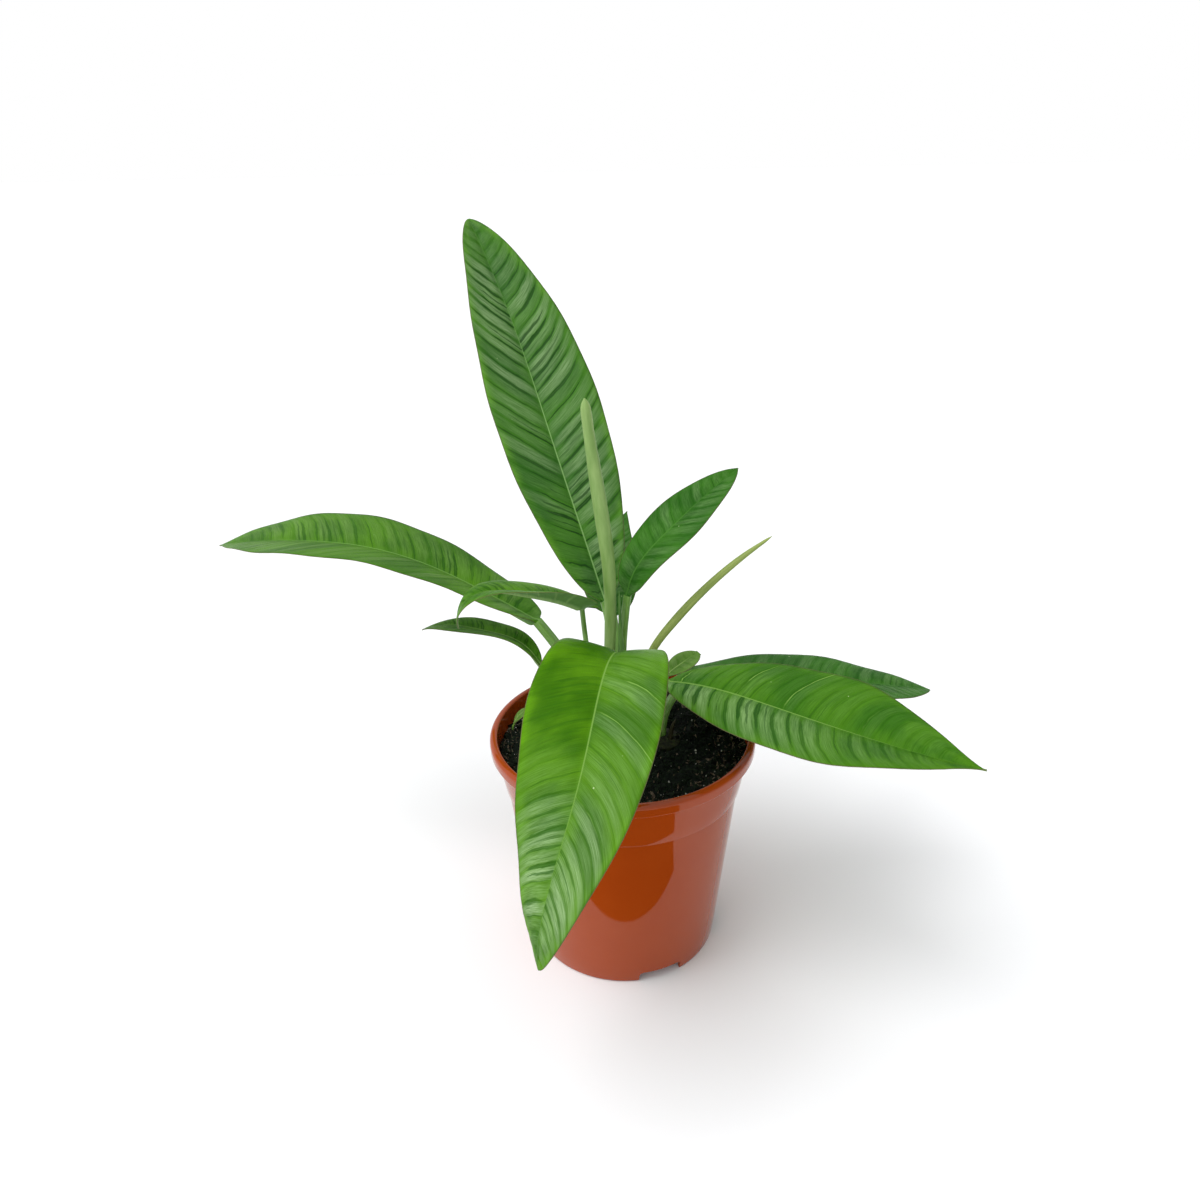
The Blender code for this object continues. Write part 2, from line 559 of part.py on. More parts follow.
def centre_over_origin(holder: bpy.types.Object, things: list[bpy.types.Object]) -> None:
    """Move the whole part so that its box is centred over the origin."""
    graph = bpy.context.evaluated_depsgraph_get()
    corners = []
    for thing in things:
        solid = thing.evaluated_get(graph)
        corners += [solid.matrix_world @ Vector(corner) for corner in solid.bound_box]
    for axis in (0, 1):
        values = [corner[axis] for corner in corners]
        holder.location[axis] -= (min(values) + max(values)) / 2


def main() -> None:
    """Build every piece of the potted plant."""
    for thing in list(bpy.data.objects):
        bpy.data.objects.remove(thing)
    parts = bpy.data.collections.new("potted_philodendron")
    cutters = bpy.data.collections.new("cutters")
    for collection in (parts, cutters):
        bpy.context.scene.collection.children.link(collection)
    holder = bpy.data.objects.new("plant_origin", None)
    parts.objects.link(holder)

    things = []
    pot = build_pot(parts, cutters)
    finish(pot, (0.314, 0.052, 0.010), 0.3, holder)
    soil = build_soil(parts, cutters)
    finish(soil, (0.012, 0.010, 0.007), 0.95, holder)
    things += [pot, soil]
    for leaf in (*MAIN_LEAVES, *SIDE_LEAVES, SEEDLING):
        thing = build_leaf(leaf, parts)
        finish(thing, leaf.colour, 0.35, holder)
        things.append(thing)
    for spear in (*MAIN_SPEARS, *SIDE_SPEARS):
        thing = build_spear(spear, parts)
        finish(thing, spear.colour, 0.45, holder)
        things.append(thing)
    for crown, leaves, spears in ((MAIN_CROWN, MAIN_LEAVES, MAIN_SPEARS),
                                  (SIDE_CROWN, SIDE_LEAVES, SIDE_SPEARS)):
        sockets = [(*leaf.root, leaf.stalk) for leaf in leaves]
        sockets += [(*spear.points[0][:2], spear.points[0][3]) for spear in spears]
        thing = build_crown(crown, sockets, parts, cutters)
        finish(thing, OLIVE, 0.6, holder)
        things.append(thing)
    for cutter in cutters.objects:
        cutter.parent = holder
    bpy.context.view_layer.update()
    centre_over_origin(holder, things)


main()
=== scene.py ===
"""Potted philodendron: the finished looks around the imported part.

Sizes are millimetres from the pot's axis at the floor, as in the part's own source, and become
metres where a mesh is made. +X is the plant's right, +Y its back and +Z up.
"""

import logging
import math
from dataclasses import dataclass
from enum import Enum
from typing import Any

import bpy
import numpy as np
from bpy.types import ID, Material, Mesh, Node, NodeSocket, NodeTree, Object
from mathutils import Matrix, Vector, noise


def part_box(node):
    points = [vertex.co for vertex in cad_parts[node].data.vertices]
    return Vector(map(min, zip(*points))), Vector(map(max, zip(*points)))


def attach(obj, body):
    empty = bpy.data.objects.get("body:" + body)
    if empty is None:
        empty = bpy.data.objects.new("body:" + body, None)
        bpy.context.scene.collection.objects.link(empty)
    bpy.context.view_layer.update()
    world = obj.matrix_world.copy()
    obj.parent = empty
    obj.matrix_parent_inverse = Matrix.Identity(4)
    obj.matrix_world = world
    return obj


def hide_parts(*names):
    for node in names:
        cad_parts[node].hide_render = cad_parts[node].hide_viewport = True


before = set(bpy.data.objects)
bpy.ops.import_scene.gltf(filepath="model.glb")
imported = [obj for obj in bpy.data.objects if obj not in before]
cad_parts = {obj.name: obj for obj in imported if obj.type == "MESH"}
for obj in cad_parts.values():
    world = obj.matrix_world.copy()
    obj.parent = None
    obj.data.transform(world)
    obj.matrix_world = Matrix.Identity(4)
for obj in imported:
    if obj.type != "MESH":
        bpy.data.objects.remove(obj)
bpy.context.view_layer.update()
LOG = logging.getLogger("potted_philodendron")

Pair = tuple[float, float]
Triple = tuple[float, float, float]
MM = 0.001
BODY = "root"
POT_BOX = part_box("pot")
POT_AXIS = np.array([(POT_BOX[0][i] + POT_BOX[1][i]) / 2 / MM for i in range(2)] + [0.0])


def colour(code: str) -> tuple[float, float, float, float]:
    """Turn an sRGB hex value into a linear colour.

    Args:
        code: six hex digits after a hash.

    Returns:
        Red, green, blue and an alpha of 1.
    """
    parts = [int(code[i:i + 2], 16) / 255 for i in (1, 3, 5)]
    linear = [v / 12.92 if v <= 0.04045 else ((v + 0.055) / 1.055) ** 2.4 for v in parts]
    return (*linear, 1.0)


def between(pair: Pair, share: Any) -> Any:
    """The number, or array, at a share of the way from the first of a pair to the second."""
    return pair[0] + (pair[1] - pair[0]) * share


def polar(radius: float, angle: float) -> Pair:
    """X and Y at a radius and an angle in radians."""
    return radius * math.cos(angle), radius * math.sin(angle)


def linked(name: str, thing: ID) -> Object:
    """Put a mesh, lamp or camera into the scene as an object."""
    made = bpy.data.objects.new(name, thing)
    bpy.context.scene.collection.objects.link(made)
    return made


def mesh_object(name: str, points: np.ndarray, faces: list, materials: list) -> Object:
    """Make a smooth mesh object whose place is in its mesh.

    Args:
        name: the piece's name.
        points: millimetres from the pot's axis.
        faces: corner indices of each face.
        materials: the object's materials, in the order of its slots.

    Returns:
        The object, linked to the scene.
    """
    mesh = bpy.data.meshes.new(name)
    mesh.from_pydata(((points + POT_AXIS) * MM).tolist(), [], faces)
    for material in materials:
        mesh.materials.append(material)
    mesh.shade_smooth()
    return linked(name, mesh)


def settle(piece: Object, node: str) -> None:
    """Ride a finished piece on the part's body and let it stand for the CAD node it repeats."""
    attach(piece, BODY)
    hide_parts(node)
    LOG.info("%s: %d faces", piece.name, len(piece.data.polygons))


def plain_mesh(thing: Object, name: str) -> Object:
    """Turn an object with modifiers into a plain mesh object of the given name.

    Args:
        thing: the object, which is removed.
        name: the new object's name.

    Returns:
        The new object, at the origin.
    """
    graph = bpy.context.evaluated_depsgraph_get()
    mesh = bpy.data.meshes.new_from_object(thing.evaluated_get(graph))
    mesh.transform(thing.matrix_world)
    bpy.data.objects.remove(thing)
    mesh.name = name
    return linked(name, mesh)


def feed(node: Node, links: dict) -> None:
    """Give a node's inputs their values and links.

    Args:
        node: the node.
        links: for each input, by name or index, a value, a node (its first open output), or a
            pair of a node and an output's name.
    """
    for key, value in links.items():
        if isinstance(key, int):
            socket = node.inputs[key]
        else:
            socket = next(s for s in node.inputs if s.name == key and s.enabled)
        if isinstance(value, tuple) and isinstance(value[0], Node):
            value = next(s for s in value[0].outputs if s.name == value[1] and s.enabled)
        elif isinstance(value, Node):
            value = next(s for s in value.outputs if s.enabled)
        if isinstance(value, NodeSocket):
            node.id_data.links.new(value, socket)
        else:
            socket.default_value = value


class Nodes:
    """A node tree, with one short call for each kind of node that comes often."""

    def __init__(self, tree: NodeTree) -> None:
        """Work on a node tree."""
        self.tree = tree

    def add(self, kind: str, links: dict | None = None, **settings) -> Node:
        """Add a node with its own settings, and feed it."""
        made = self.tree.nodes.new(kind)
        for key, value in settings.items():
            setattr(made, key, value)
        feed(made, links or {})
        return made

    def maths(self, operation: str, *values: Any, clamp: bool = False) -> Node:
        """Work out a number from up to three."""
        return self.add("ShaderNodeMath", dict(enumerate(values)), operation=operation, use_clamp=clamp)

    def product(self, value: Any, *factors: Any, clamp: bool = False) -> Node:
        """Multiply a value by each factor in turn."""
        for factor in factors:
            value = self.maths("MULTIPLY", value, factor, clamp=clamp)
        return value

    def vector(self, operation: str, *values: Any) -> Node:
        """Work out a vector from others."""
        return self.add("ShaderNodeVectorMath", dict(enumerate(values)), operation=operation)

    def scaled(self, value: Any, factor: Any) -> Node:
        """Scale a vector by a number."""
        return self.add("ShaderNodeVectorMath", {0: value, "Scale": factor}, operation="SCALE")

    def ramp(self, value: Any, given: tuple = (0.0, 1.0), wanted: tuple = (0.0, 1.0),
             smooth: bool = True) -> Node:
        """Map a value from one range to another, eased at both ends if it is to be smooth."""
        return self.add("ShaderNodeMapRange",
                        {"Value": value, "From Min": given[0], "From Max": given[1],
                         "To Min": wanted[0], "To Max": wanted[1]},
                        interpolation_type="SMOOTHSTEP" if smooth else "LINEAR")

    def noise(self, where: Any, scale: float = 1.0, detail: float = 3.0,
              roughness: float = 0.5) -> Node:
        """Fractal noise at a place."""
        return self.add("ShaderNodeTexNoise", {"Vector": where, "Scale": scale, "Detail": detail,
                                               "Roughness": roughness})

    def parts(self, value: Any) -> Node:
        """Take a vector apart into X, Y and Z."""
        return self.add("ShaderNodeSeparateXYZ", {0: value})


class Finish(Nodes):
    """A material in the making: its node tree and its Principled shader."""

    def __init__(self, name: str) -> None:
        """Start a material of the given name."""
        self.material = bpy.data.materials.new(name)
        self.material.use_nodes = True
        super().__init__(self.material.node_tree)

    def mix(self, factor: Any, first: Any, second: Any) -> Node:
        """Mix two colours, each a node or a hex value."""
        first, second = (colour(c) if isinstance(c, str) else c for c in (first, second))
        return self.add("ShaderNodeMix", {"Factor": factor, "A": first, "B": second}, data_type="RGBA")

    def place(self) -> tuple[Node, str]:
        """Where a point lies in its object, in metres."""
        return self.add("ShaderNodeTexCoord"), "Object"

    def leaf_maps(self) -> tuple[Node, Node, Node]:
        """A leaf's vein map, that map's parts, and the parts of the places on its blade."""
        veins = self.add("ShaderNodeUVMap", uv_map="vein_uv")
        places = self.add("ShaderNodeAttribute", attribute_name="leaf_place")
        return veins, self.parts(veins), self.parts((places, "Vector"))

    def curve(self, value: Any, points: tuple) -> Node:
        """Shape a value by a curve through points."""
        made = self.add("ShaderNodeFloatCurve", {"Value": value})
        line = made.mapping.curves[0]
        while len(line.points) < len(points):
            line.points.new(0.5, 0.5)
        for point, spot in zip(line.points, points):
            point.location = spot
        made.mapping.update()
        return made

    def bump(self, height: Any, strength: float, distance: float) -> Node:
        """Relief whose full height is a distance in millimetres."""
        return self.add("ShaderNodeBump", {"Height": height, "Strength": strength,
                                           "Distance": distance * MM})

    def done(self, inputs: dict) -> Material:
        """Feed the shader and return the material."""
        feed(self.tree.nodes["Principled BSDF"], inputs)
        return self.material


class Maker(Nodes):
    """A Geometry Nodes tree in the making: it takes a mesh and named values and makes a piece."""

    def __init__(self, name: str, inputs: dict[str, str]) -> None:
        """Start a tree whose inputs are a mesh, the named ones of a kind of socket, and a finish."""
        super().__init__(bpy.data.node_groups.new(name, "GeometryNodeTree"))
        self.sockets = {}
        for key, kind in {"Mesh": "Geometry", **inputs, "Finish": "Material"}.items():
            socket = self.tree.interface.new_socket(name=key, in_out="INPUT",
                                                    socket_type="NodeSocket" + kind)
            self.sockets[key] = socket.identifier
        self.tree.interface.new_socket(name="Piece", in_out="OUTPUT", socket_type="NodeSocketGeometry")
        self.given = self.add("NodeGroupInput")

    def stored(self, geometry: Any, name: str, value: Any, kind: str = "FLOAT") -> Node:
        """Store a value on the points of a geometry."""
        return self.add("GeometryNodeStoreNamedAttribute",
                        {"Geometry": geometry, "Name": name, "Value": value}, data_type=kind,
                        domain="POINT")

    def named(self, name: str) -> Node:
        """Read a number that is stored under a name."""
        return self.add("GeometryNodeInputNamedAttribute", {"Name": name}, data_type="FLOAT")

    def close(self, geometry: Node) -> None:
        """Make the geometry real, dress it and give it out."""
        solid = self.add("GeometryNodeRealizeInstances", {0: geometry})
        dressed = self.add("GeometryNodeSetMaterial", {"Geometry": solid,
                                                       "Material": (self.given, "Finish")})
        self.add("NodeGroupOutput", {0: dressed})

    def run(self, carrier: Object, name: str, values: dict) -> Object:
        """Run the tree on an object and turn what it makes into a plain mesh object.

        Args:
            carrier: the object, which is removed.
            name: the new object's name.
            values: the tree's inputs by name.

        Returns:
            The new object.
        """
        modifier = carrier.modifiers.new(name, "NODES")
        modifier.node_group = self.tree
        for key, value in values.items():
            modifier[self.sockets[key]] = value
        return plain_mesh(carrier, name)


# Finishes

@dataclass(frozen=True)
class LeafSkin:
    """The upper face of a live philodendron leaf: a waxy cuticle over green tissue.

    The lateral veins lie in ragged furrows, darkened by painted shade that fades towards the midrib and
    the margin. The tissue between two of them swells, and a grey painted sheen on its crests stands for
    the light that its wax mirrors.
    Widths between veins are shares of the 8 to 9 mm from one lateral vein to the next.
    """

    name: str
    deep: str                       # tissue in its darker patches
    bright: str                     # tissue in its lighter patches
    crest_sheen: str                        # painted sheen on the crest of a swelling
    furrow_shade: str                     # painted shade at the bottom of a furrow
    rib: str                        # midrib
    margin: str                     # strip along the margin
    sheen_left: Pair = (0.6, 0.6)     # how much painted sheen shows at the base and at the tip
    sheen_right: Pair = (0.6, 0.6)
    furrow_shade_left: Pair = (0.8, 0.8)  # how much of the furrows' painted shade shows, the same way
    furrow_shade_right: Pair = (0.8, 0.8)
    vein_line: Pair = (0.1, 0.1)    # how much a thin pale line shows, left and right
    roughness: float = 0.38
    shine: float = 0.12             # strength of the cuticle's mirror light
    sheen_and_shade_span: Pair = (0.05, 0.8)    # where along the blade the strengths of painted sheen and shade change
    stroke: Pair = (0.05, 0.21)     # least and greatest half width of a furrow's painted shade
    weakest: float = 0.45           # strength of the weakest furrow's painted shade
    between: float = -0.6           # the same half way between two veins
    trough_sheen: float = 0.15        # share of the painted sheen that lies in the furrows too

    def material(self) -> Material:
        """Build the material from the leaf's own maps of veins and places."""
        return LeafPattern(self).shaded()


class LeafPattern(Finish):
    """A leaf's upper face in the making: masks that follow its veins, and its colours in them."""

    # Scales of the noises along and across the veins and from side to side, and their roughness
    NOISES = (((0.30, 0.9, 1.0), 0.5), ((0.8, 2.4, 1.0), 0.4), ((5.0, 2.2, 1.0), 0.65),
              ((19.0, 2.6, 1.0), 0.6))
    SIDE_SEED = 57.0
    OTHER_SEED = 211.0
    BEND = 0.4                  # how far a furrow bends, and how ragged its edges are
    RAGGED = 0.20
    MEAN_SHIFT = 0.30           # what bend and raggedness add on average
    TIP = (0.84, 0.97)          # where the painted furrow shade and the painted sheen fade out along the blade
    HALF_WAY = (0.0, 0.10)      # half widths of the weaker strokes of painted shade half way between two veins
    # Strength of the painted sheen on the crests, from the midrib, 0, to the margin, 1
    CREST_SPAN = ((0.0, 0.25), (0.10, 0.7), (0.45, 1.0), (0.80, 0.75), (1.0, 0.1))
    # Shape of a stroke of painted shade from the midrib towards the margin
    SPINDLE = ((0.0, 0.10), (0.10, 0.50), (0.35, 1.0), (0.62, 0.80), (0.86, 0.28), (1.0, 0.0))
    RIB_HALF = (0.65, 0.3)      # half width of the midrib in millimetres
    EDGE = "#6b6248"
    SPECK = "#b9cf9a"

    def __init__(self, skin: LeafSkin) -> None:
        """Start the material of a skin with the nodes that its masks share."""
        super().__init__(skin.name)
        self.skin = skin
        _, vein, self.spot = self.leaf_maps()
        self.way = (self.spot, "X")
        self.out = self.maths("ABSOLUTE", (vein, "Y"))
        self.left = self.maths("GREATER_THAN", (vein, "Y"), 0.0)
        self.seed = self.maths("MULTIPLY", self.left, self.SIDE_SEED)

        # Broad patches, slow bends, ragged streaks and fine veinlets, all along the veins
        along = self.add("ShaderNodeCombineXYZ", {0: (vein, "X"), 1: self.out, 2: self.seed})
        self.patch, self.bend, self.streak, self.veinlet = (
            self.noise(self.vector("MULTIPLY", along, spread), roughness=roughness)
            for spread, roughness in self.NOISES)

        # The phase is whole on the lateral veins; near is 0 on a vein and 0.5 half way between two
        bent = self.maths("MULTIPLY_ADD", self.bend, self.BEND, (vein, "X"))
        ragged = self.maths("MULTIPLY_ADD", self.streak, self.RAGGED, bent)
        self.phase = self.maths("SUBTRACT", ragged, self.MEAN_SHIFT)
        self.near = self.maths("PINGPONG", self.phase, 0.5)

    def shaded(self) -> Material:
        """Mix the colours by their masks and feed the shader."""
        skin = self.skin
        rib, strip, edge, speck = self.rims()
        shade = self.mix(self.ramp(self.patch, (0.38, 0.62)), skin.deep, skin.bright)
        # Painted sheen on the crests and painted shade in the furrows go over the tissue's colours here
        for mask, tone in ((strip, skin.margin), (self.crest_sheen_mask(), skin.crest_sheen),
                           (self.furrow_shade_mask(), skin.furrow_shade), (self.lines(), skin.rib), (rib, skin.rib),
                           (edge, self.EDGE), (speck, self.SPECK)):
            shade = self.mix(mask, shade, tone)
        tone = self.ramp(self.veinlet, (0.3, 0.7), (0.87, 1.13))
        shade = self.add("ShaderNodeHueSaturation", {"Color": shade, "Value": tone})
        pores = self.noise(self.place(), 900.0, 2.0)
        relief = self.maths("MULTIPLY_ADD", pores, 0.2, self.veinlet)
        rough = (skin.roughness - 0.06, skin.roughness + 0.06)
        return self.done({"Base Color": shade, "Normal": self.bump(relief, 0.4, 0.5),
                          "Roughness": self.ramp(self.streak, (0.3, 0.7), rough),
                          "IOR": 1.45, "Specular IOR Level": skin.shine})

    def furrow_shade_mask(self) -> Node:
        """Painted shade in the furrows on the veins, and weaker painted shade half way between two."""
        far = self.maths("SUBTRACT", 0.5, self.near)
        on_veins = self.strokes("ROUND", self.near, self.skin.stroke, self.skin.weakest)
        half_way = self.strokes("FLOOR", far, self.HALF_WAY, self.skin.between)
        return self.product(self.maths("MAXIMUM", on_veins, half_way),
                            self.ramp(self.way, self.TIP, (1.0, 0.0)),
                            self.zone(self.skin.furrow_shade_left, self.skin.furrow_shade_right))

    def crest_sheen_mask(self) -> Node:
        """Painted sheen on the crests between furrows, streaked by the veinlets."""
        return self.product(self.curve(self.out, self.CREST_SPAN),
                            self.ramp(self.near, (0.05, 0.30), (self.skin.trough_sheen, 1.0)),
                            self.ramp(self.luck("FLOOR"), wanted=(0.35, 1.0)),
                            self.ramp(self.veinlet, (0.32, 0.66), (0.45, 1.15)),
                            self.zone(self.skin.sheen_left, self.skin.sheen_right),
                            self.ramp(self.way, self.TIP, (1.0, 0.35)), clamp=True)

    def lines(self) -> Node:
        """A thin, broken pale line along some of the veins, 0.4 mm wide."""
        left, right = self.skin.vein_line
        return self.product(self.ramp(self.near, (0.012, 0.05), (1.0, 0.0)),
                            self.add("ShaderNodeMix", {"Factor": self.left, "A": right, "B": left}),
                            self.ramp(self.luck("ROUND"), (0.3, 0.8)),
                            self.ramp(self.way, (0.45, 0.7), (1.0, 0.1)),
                            self.ramp(self.bend, (0.40, 0.56), (0.15, 1.0)))

    def rims(self) -> tuple[Node, ...]:
        """The midrib, a strip and a thin edge at the margin, and specks 1 mm wide."""
        from_rib, from_margin = (self.spot, "Y"), (self.spot, "Z")
        half = self.ramp(self.way, wanted=self.RIB_HALF)
        rib = self.ramp(self.maths("ABSOLUTE", from_rib), (self.maths("MULTIPLY", half, 0.3), half),
                        (self.ramp(self.way, (0.45, 0.8), (0.75, 0.15)), 0.0))
        strip = self.product(self.ramp(from_margin, (0.5, 6.0), (0.7, 0.0)),
                             self.ramp(self.bend, (0.42, 0.62), (0.3, 1.0)))
        edge = self.ramp(from_margin, (0.12, 0.5), (0.75, 0.0))
        specks = self.add("ShaderNodeTexVoronoi", {"Vector": self.place(), "Scale": 75.0})
        return rib, strip, edge, self.ramp((specks, "Distance"), (0.018, 0.035), (0.8, 0.0))

    def zone(self, left_pair: tuple, right_pair: tuple) -> Node:
        """A strength that changes along the blade, for each of its sides."""
        right, left = (self.ramp(self.way, self.skin.sheen_and_shade_span, pair)
                       for pair in (right_pair, left_pair))
        return self.add("ShaderNodeMix", {"Factor": self.left, "A": right, "B": left})

    def luck(self, rounding: str, shift: float = 0.0) -> Node:
        """A random value from 0 to 1 for each vein, or each gap, on each side of the leaf."""
        number = self.maths("ADD", self.maths(rounding, self.phase), shift)
        return self.add("ShaderNodeTexWhiteNoise", {"W": self.maths("ADD", number, self.seed)},
                        noise_dimensions="1D")

    def strokes(self, rounding: str, near: Node, widths: Pair, weakest: float) -> Node:
        """Spindles of painted shade along the veins, each with its own place, width and strength.

        Args:
            rounding: ROUND for strokes on the veins, FLOOR for strokes between them.
            near: the distance from the stroke's middle.
            widths: the least and the greatest half width.
            weakest: strength of the weakest stroke; below 0 leaves some out.

        Returns:
            The strokes' mask.
        """
        other = self.luck(rounding, self.OTHER_SEED)
        moved = self.maths("SUBTRACT", self.maths("MULTIPLY_ADD", other, 0.36, self.out), 0.16)
        spindle = self.curve(moved, self.SPINDLE)
        reach = self.maths("MULTIPLY_ADD", spindle, self.ramp(self.luck(rounding), wanted=widths),
                           0.012)
        body = self.ramp(near, (self.maths("MULTIPLY", reach, 0.55), reach), (1.0, 0.0))
        strength = self.ramp(other, wanted=(weakest, 1.0), smooth=False)
        return self.product(body, self.ramp(spindle, (0.02, 0.5)), strength, clamp=True)


@dataclass(frozen=True)
class LeafBack:
    """The under face of a leaf: paler and duller than the upper one, with raised veins."""

    name: str = "leaf_underside_matt_cuticle"
    tissue: str = "#55823a"
    vein: str = "#7fa35a"

    def material(self) -> Material:
        """Build the material from the leaf's own maps."""
        finish = Finish(self.name)
        maths, ramp = finish.maths, finish.ramp
        veins, vein, place = finish.leaf_maps()
        line = ramp(maths("PINGPONG", (vein, "X"), 0.5), (0.02, 0.10), (0.55, 0.0))
        rib = ramp(maths("ABSOLUTE", (place, "Y")), (0.8, 2.2), (0.9, 0.0))
        streak = finish.noise(finish.vector("MULTIPLY", veins, (5.0, 2.0, 1.0)))
        shade = finish.mix(maths("MAXIMUM", line, rib), self.tissue, self.vein)
        tone = ramp(streak, (0.3, 0.7), (0.85, 1.12), smooth=False)
        shade = finish.add("ShaderNodeHueSaturation", {"Color": shade, "Value": tone})
        return finish.done({"Base Color": shade, "Normal": finish.bump(streak, 0.3, 0.5),
                            "Roughness": 0.55})


@dataclass(frozen=True)
class Petiole:
    """A leaf's stalk: smooth, slightly waxy green skin with fine lengthwise fibres."""

    name: str = "petiole_waxy_skin"
    tissue: str = "#5f8f33"
    fibre: str = "#86ab5a"
    shade: str = "#477223"

    def material(self) -> Material:
        """Build the material: fibres run along the stalk."""
        finish = Finish(self.name)
        veins = finish.add("ShaderNodeUVMap", uv_map="vein_uv")
        fibre = finish.noise(finish.vector("MULTIPLY", veins, (0.5, 9.0, 1.0)), roughness=0.6)
        patch = finish.noise(finish.place(), 60.0, 2.0)
        base = finish.mix(finish.ramp(fibre, (0.42, 0.72), smooth=False), self.tissue, self.fibre)
        base = finish.mix(finish.ramp(patch, (0.45, 0.65), (0.0, 0.6), smooth=False), base, self.shade)
        return finish.done({"Base Color": base, "Normal": finish.bump(fibre, 0.4, 0.4),
                            "Roughness": 0.4})


@dataclass(frozen=True)
class RolledSkin:
    """A leaf that is still rolled up: pale, matt tissue with a bloom of wax."""

    name: str
    pale: str
    green: str

    def material(self) -> Material:
        """Build the material: faint veins run along the roll."""
        finish = Finish(self.name)
        places = finish.add("ShaderNodeAttribute", attribute_name="roll_place")
        spread = finish.vector("MULTIPLY", (places, "Vector"), (45.0, 5.0, 1.0))
        fibre = finish.noise(spread, roughness=0.6)
        base = finish.mix(finish.ramp(fibre, (0.35, 0.68), smooth=False), self.green, self.pale)
        return finish.done({"Base Color": base, "Normal": finish.bump(fibre, 0.3, 0.4),
                            "Roughness": 0.55})


@dataclass(frozen=True)
class Polypropylene:
    """Injection-moulded polypropylene: glossy, evenly dyed, with a faint ripple from the mould."""

    name: str = "pot_moulded_polypropylene"
    body: str = "#9b3c09"
    faded: str = "#a0410d"
    soiled: str = "#4a2010"
    wall_lean: float = 0.1953           # growth of the radius with the height
    inside: Pair = (42.6, 43.0)         # its radius at the floor, inside and in the wall
    soil_top: Pair = (118.0, 124.0)     # where soil marks end on the inside
    soil_foot: float = 112.0

    def material(self) -> Material:
        """Build the material: fine ripple, faint fading, and damp soil marks inside the rim."""
        finish = Finish(self.name)
        maths, ramp = finish.maths, finish.ramp
        where = finish.place()
        mottle = finish.noise(where, 22.0, roughness=0.55)
        base = finish.mix(ramp(mottle, (0.35, 0.68), (0.0, 0.7), smooth=False), self.body, self.faded)
        spot = finish.parts(finish.vector("SUBTRACT", where, tuple(POT_AXIS * MM)))
        flat = finish.add("ShaderNodeCombineXYZ", {0: (spot, "X"), 1: (spot, "Y")})
        radius = (finish.vector("LENGTH", flat), "Value")
        slope = maths("MULTIPLY_ADD", (spot, "Z"), -self.wall_lean, radius)
        inner, wall, low, high = (size * MM for size in (*self.inside, *self.soil_top))
        grime = ramp(finish.noise(where, 260.0), (0.35, 0.6), smooth=False)
        soil = finish.product(ramp(slope, (inner, wall), (1.0, 0.0), smooth=False),
                              maths("GREATER_THAN", (spot, "Z"), self.soil_foot * MM),
                              ramp((spot, "Z"), (low, high), (0.45, 0.0), smooth=False), grime)
        return finish.done({
            "Base Color": finish.mix(soil, base, self.soiled),
            "Normal": finish.bump(finish.noise(where, 45.0, 1.0), 0.12, 0.5),
            "Roughness": ramp(mottle, (0.3, 0.7), (0.04, 0.07), smooth=False),
            "IOR": 1.49, "Specular IOR Level": 0.38})


@dataclass(frozen=True)
class Crumb:
    """Loose mineral or plant matter: matt, rough and uneven in colour."""

    name: str
    dark: str
    light: str
    grain: float                # size of its mottling in millimetres
    roughness: float = 0.9

    def material(self) -> Material:
        """Build the material on object coordinates."""
        finish = Finish(self.name)
        mottle = finish.noise(finish.place(), 1 / (self.grain * MM), 4.0, 0.65)
        base = finish.mix(finish.ramp(mottle, (0.38, 0.66), smooth=False), self.dark, self.light)
        return finish.done({"Base Color": base, "Normal": finish.bump(mottle, 0.8, 1.0),
                            "Roughness": self.roughness, "Specular IOR Level": 0.2})


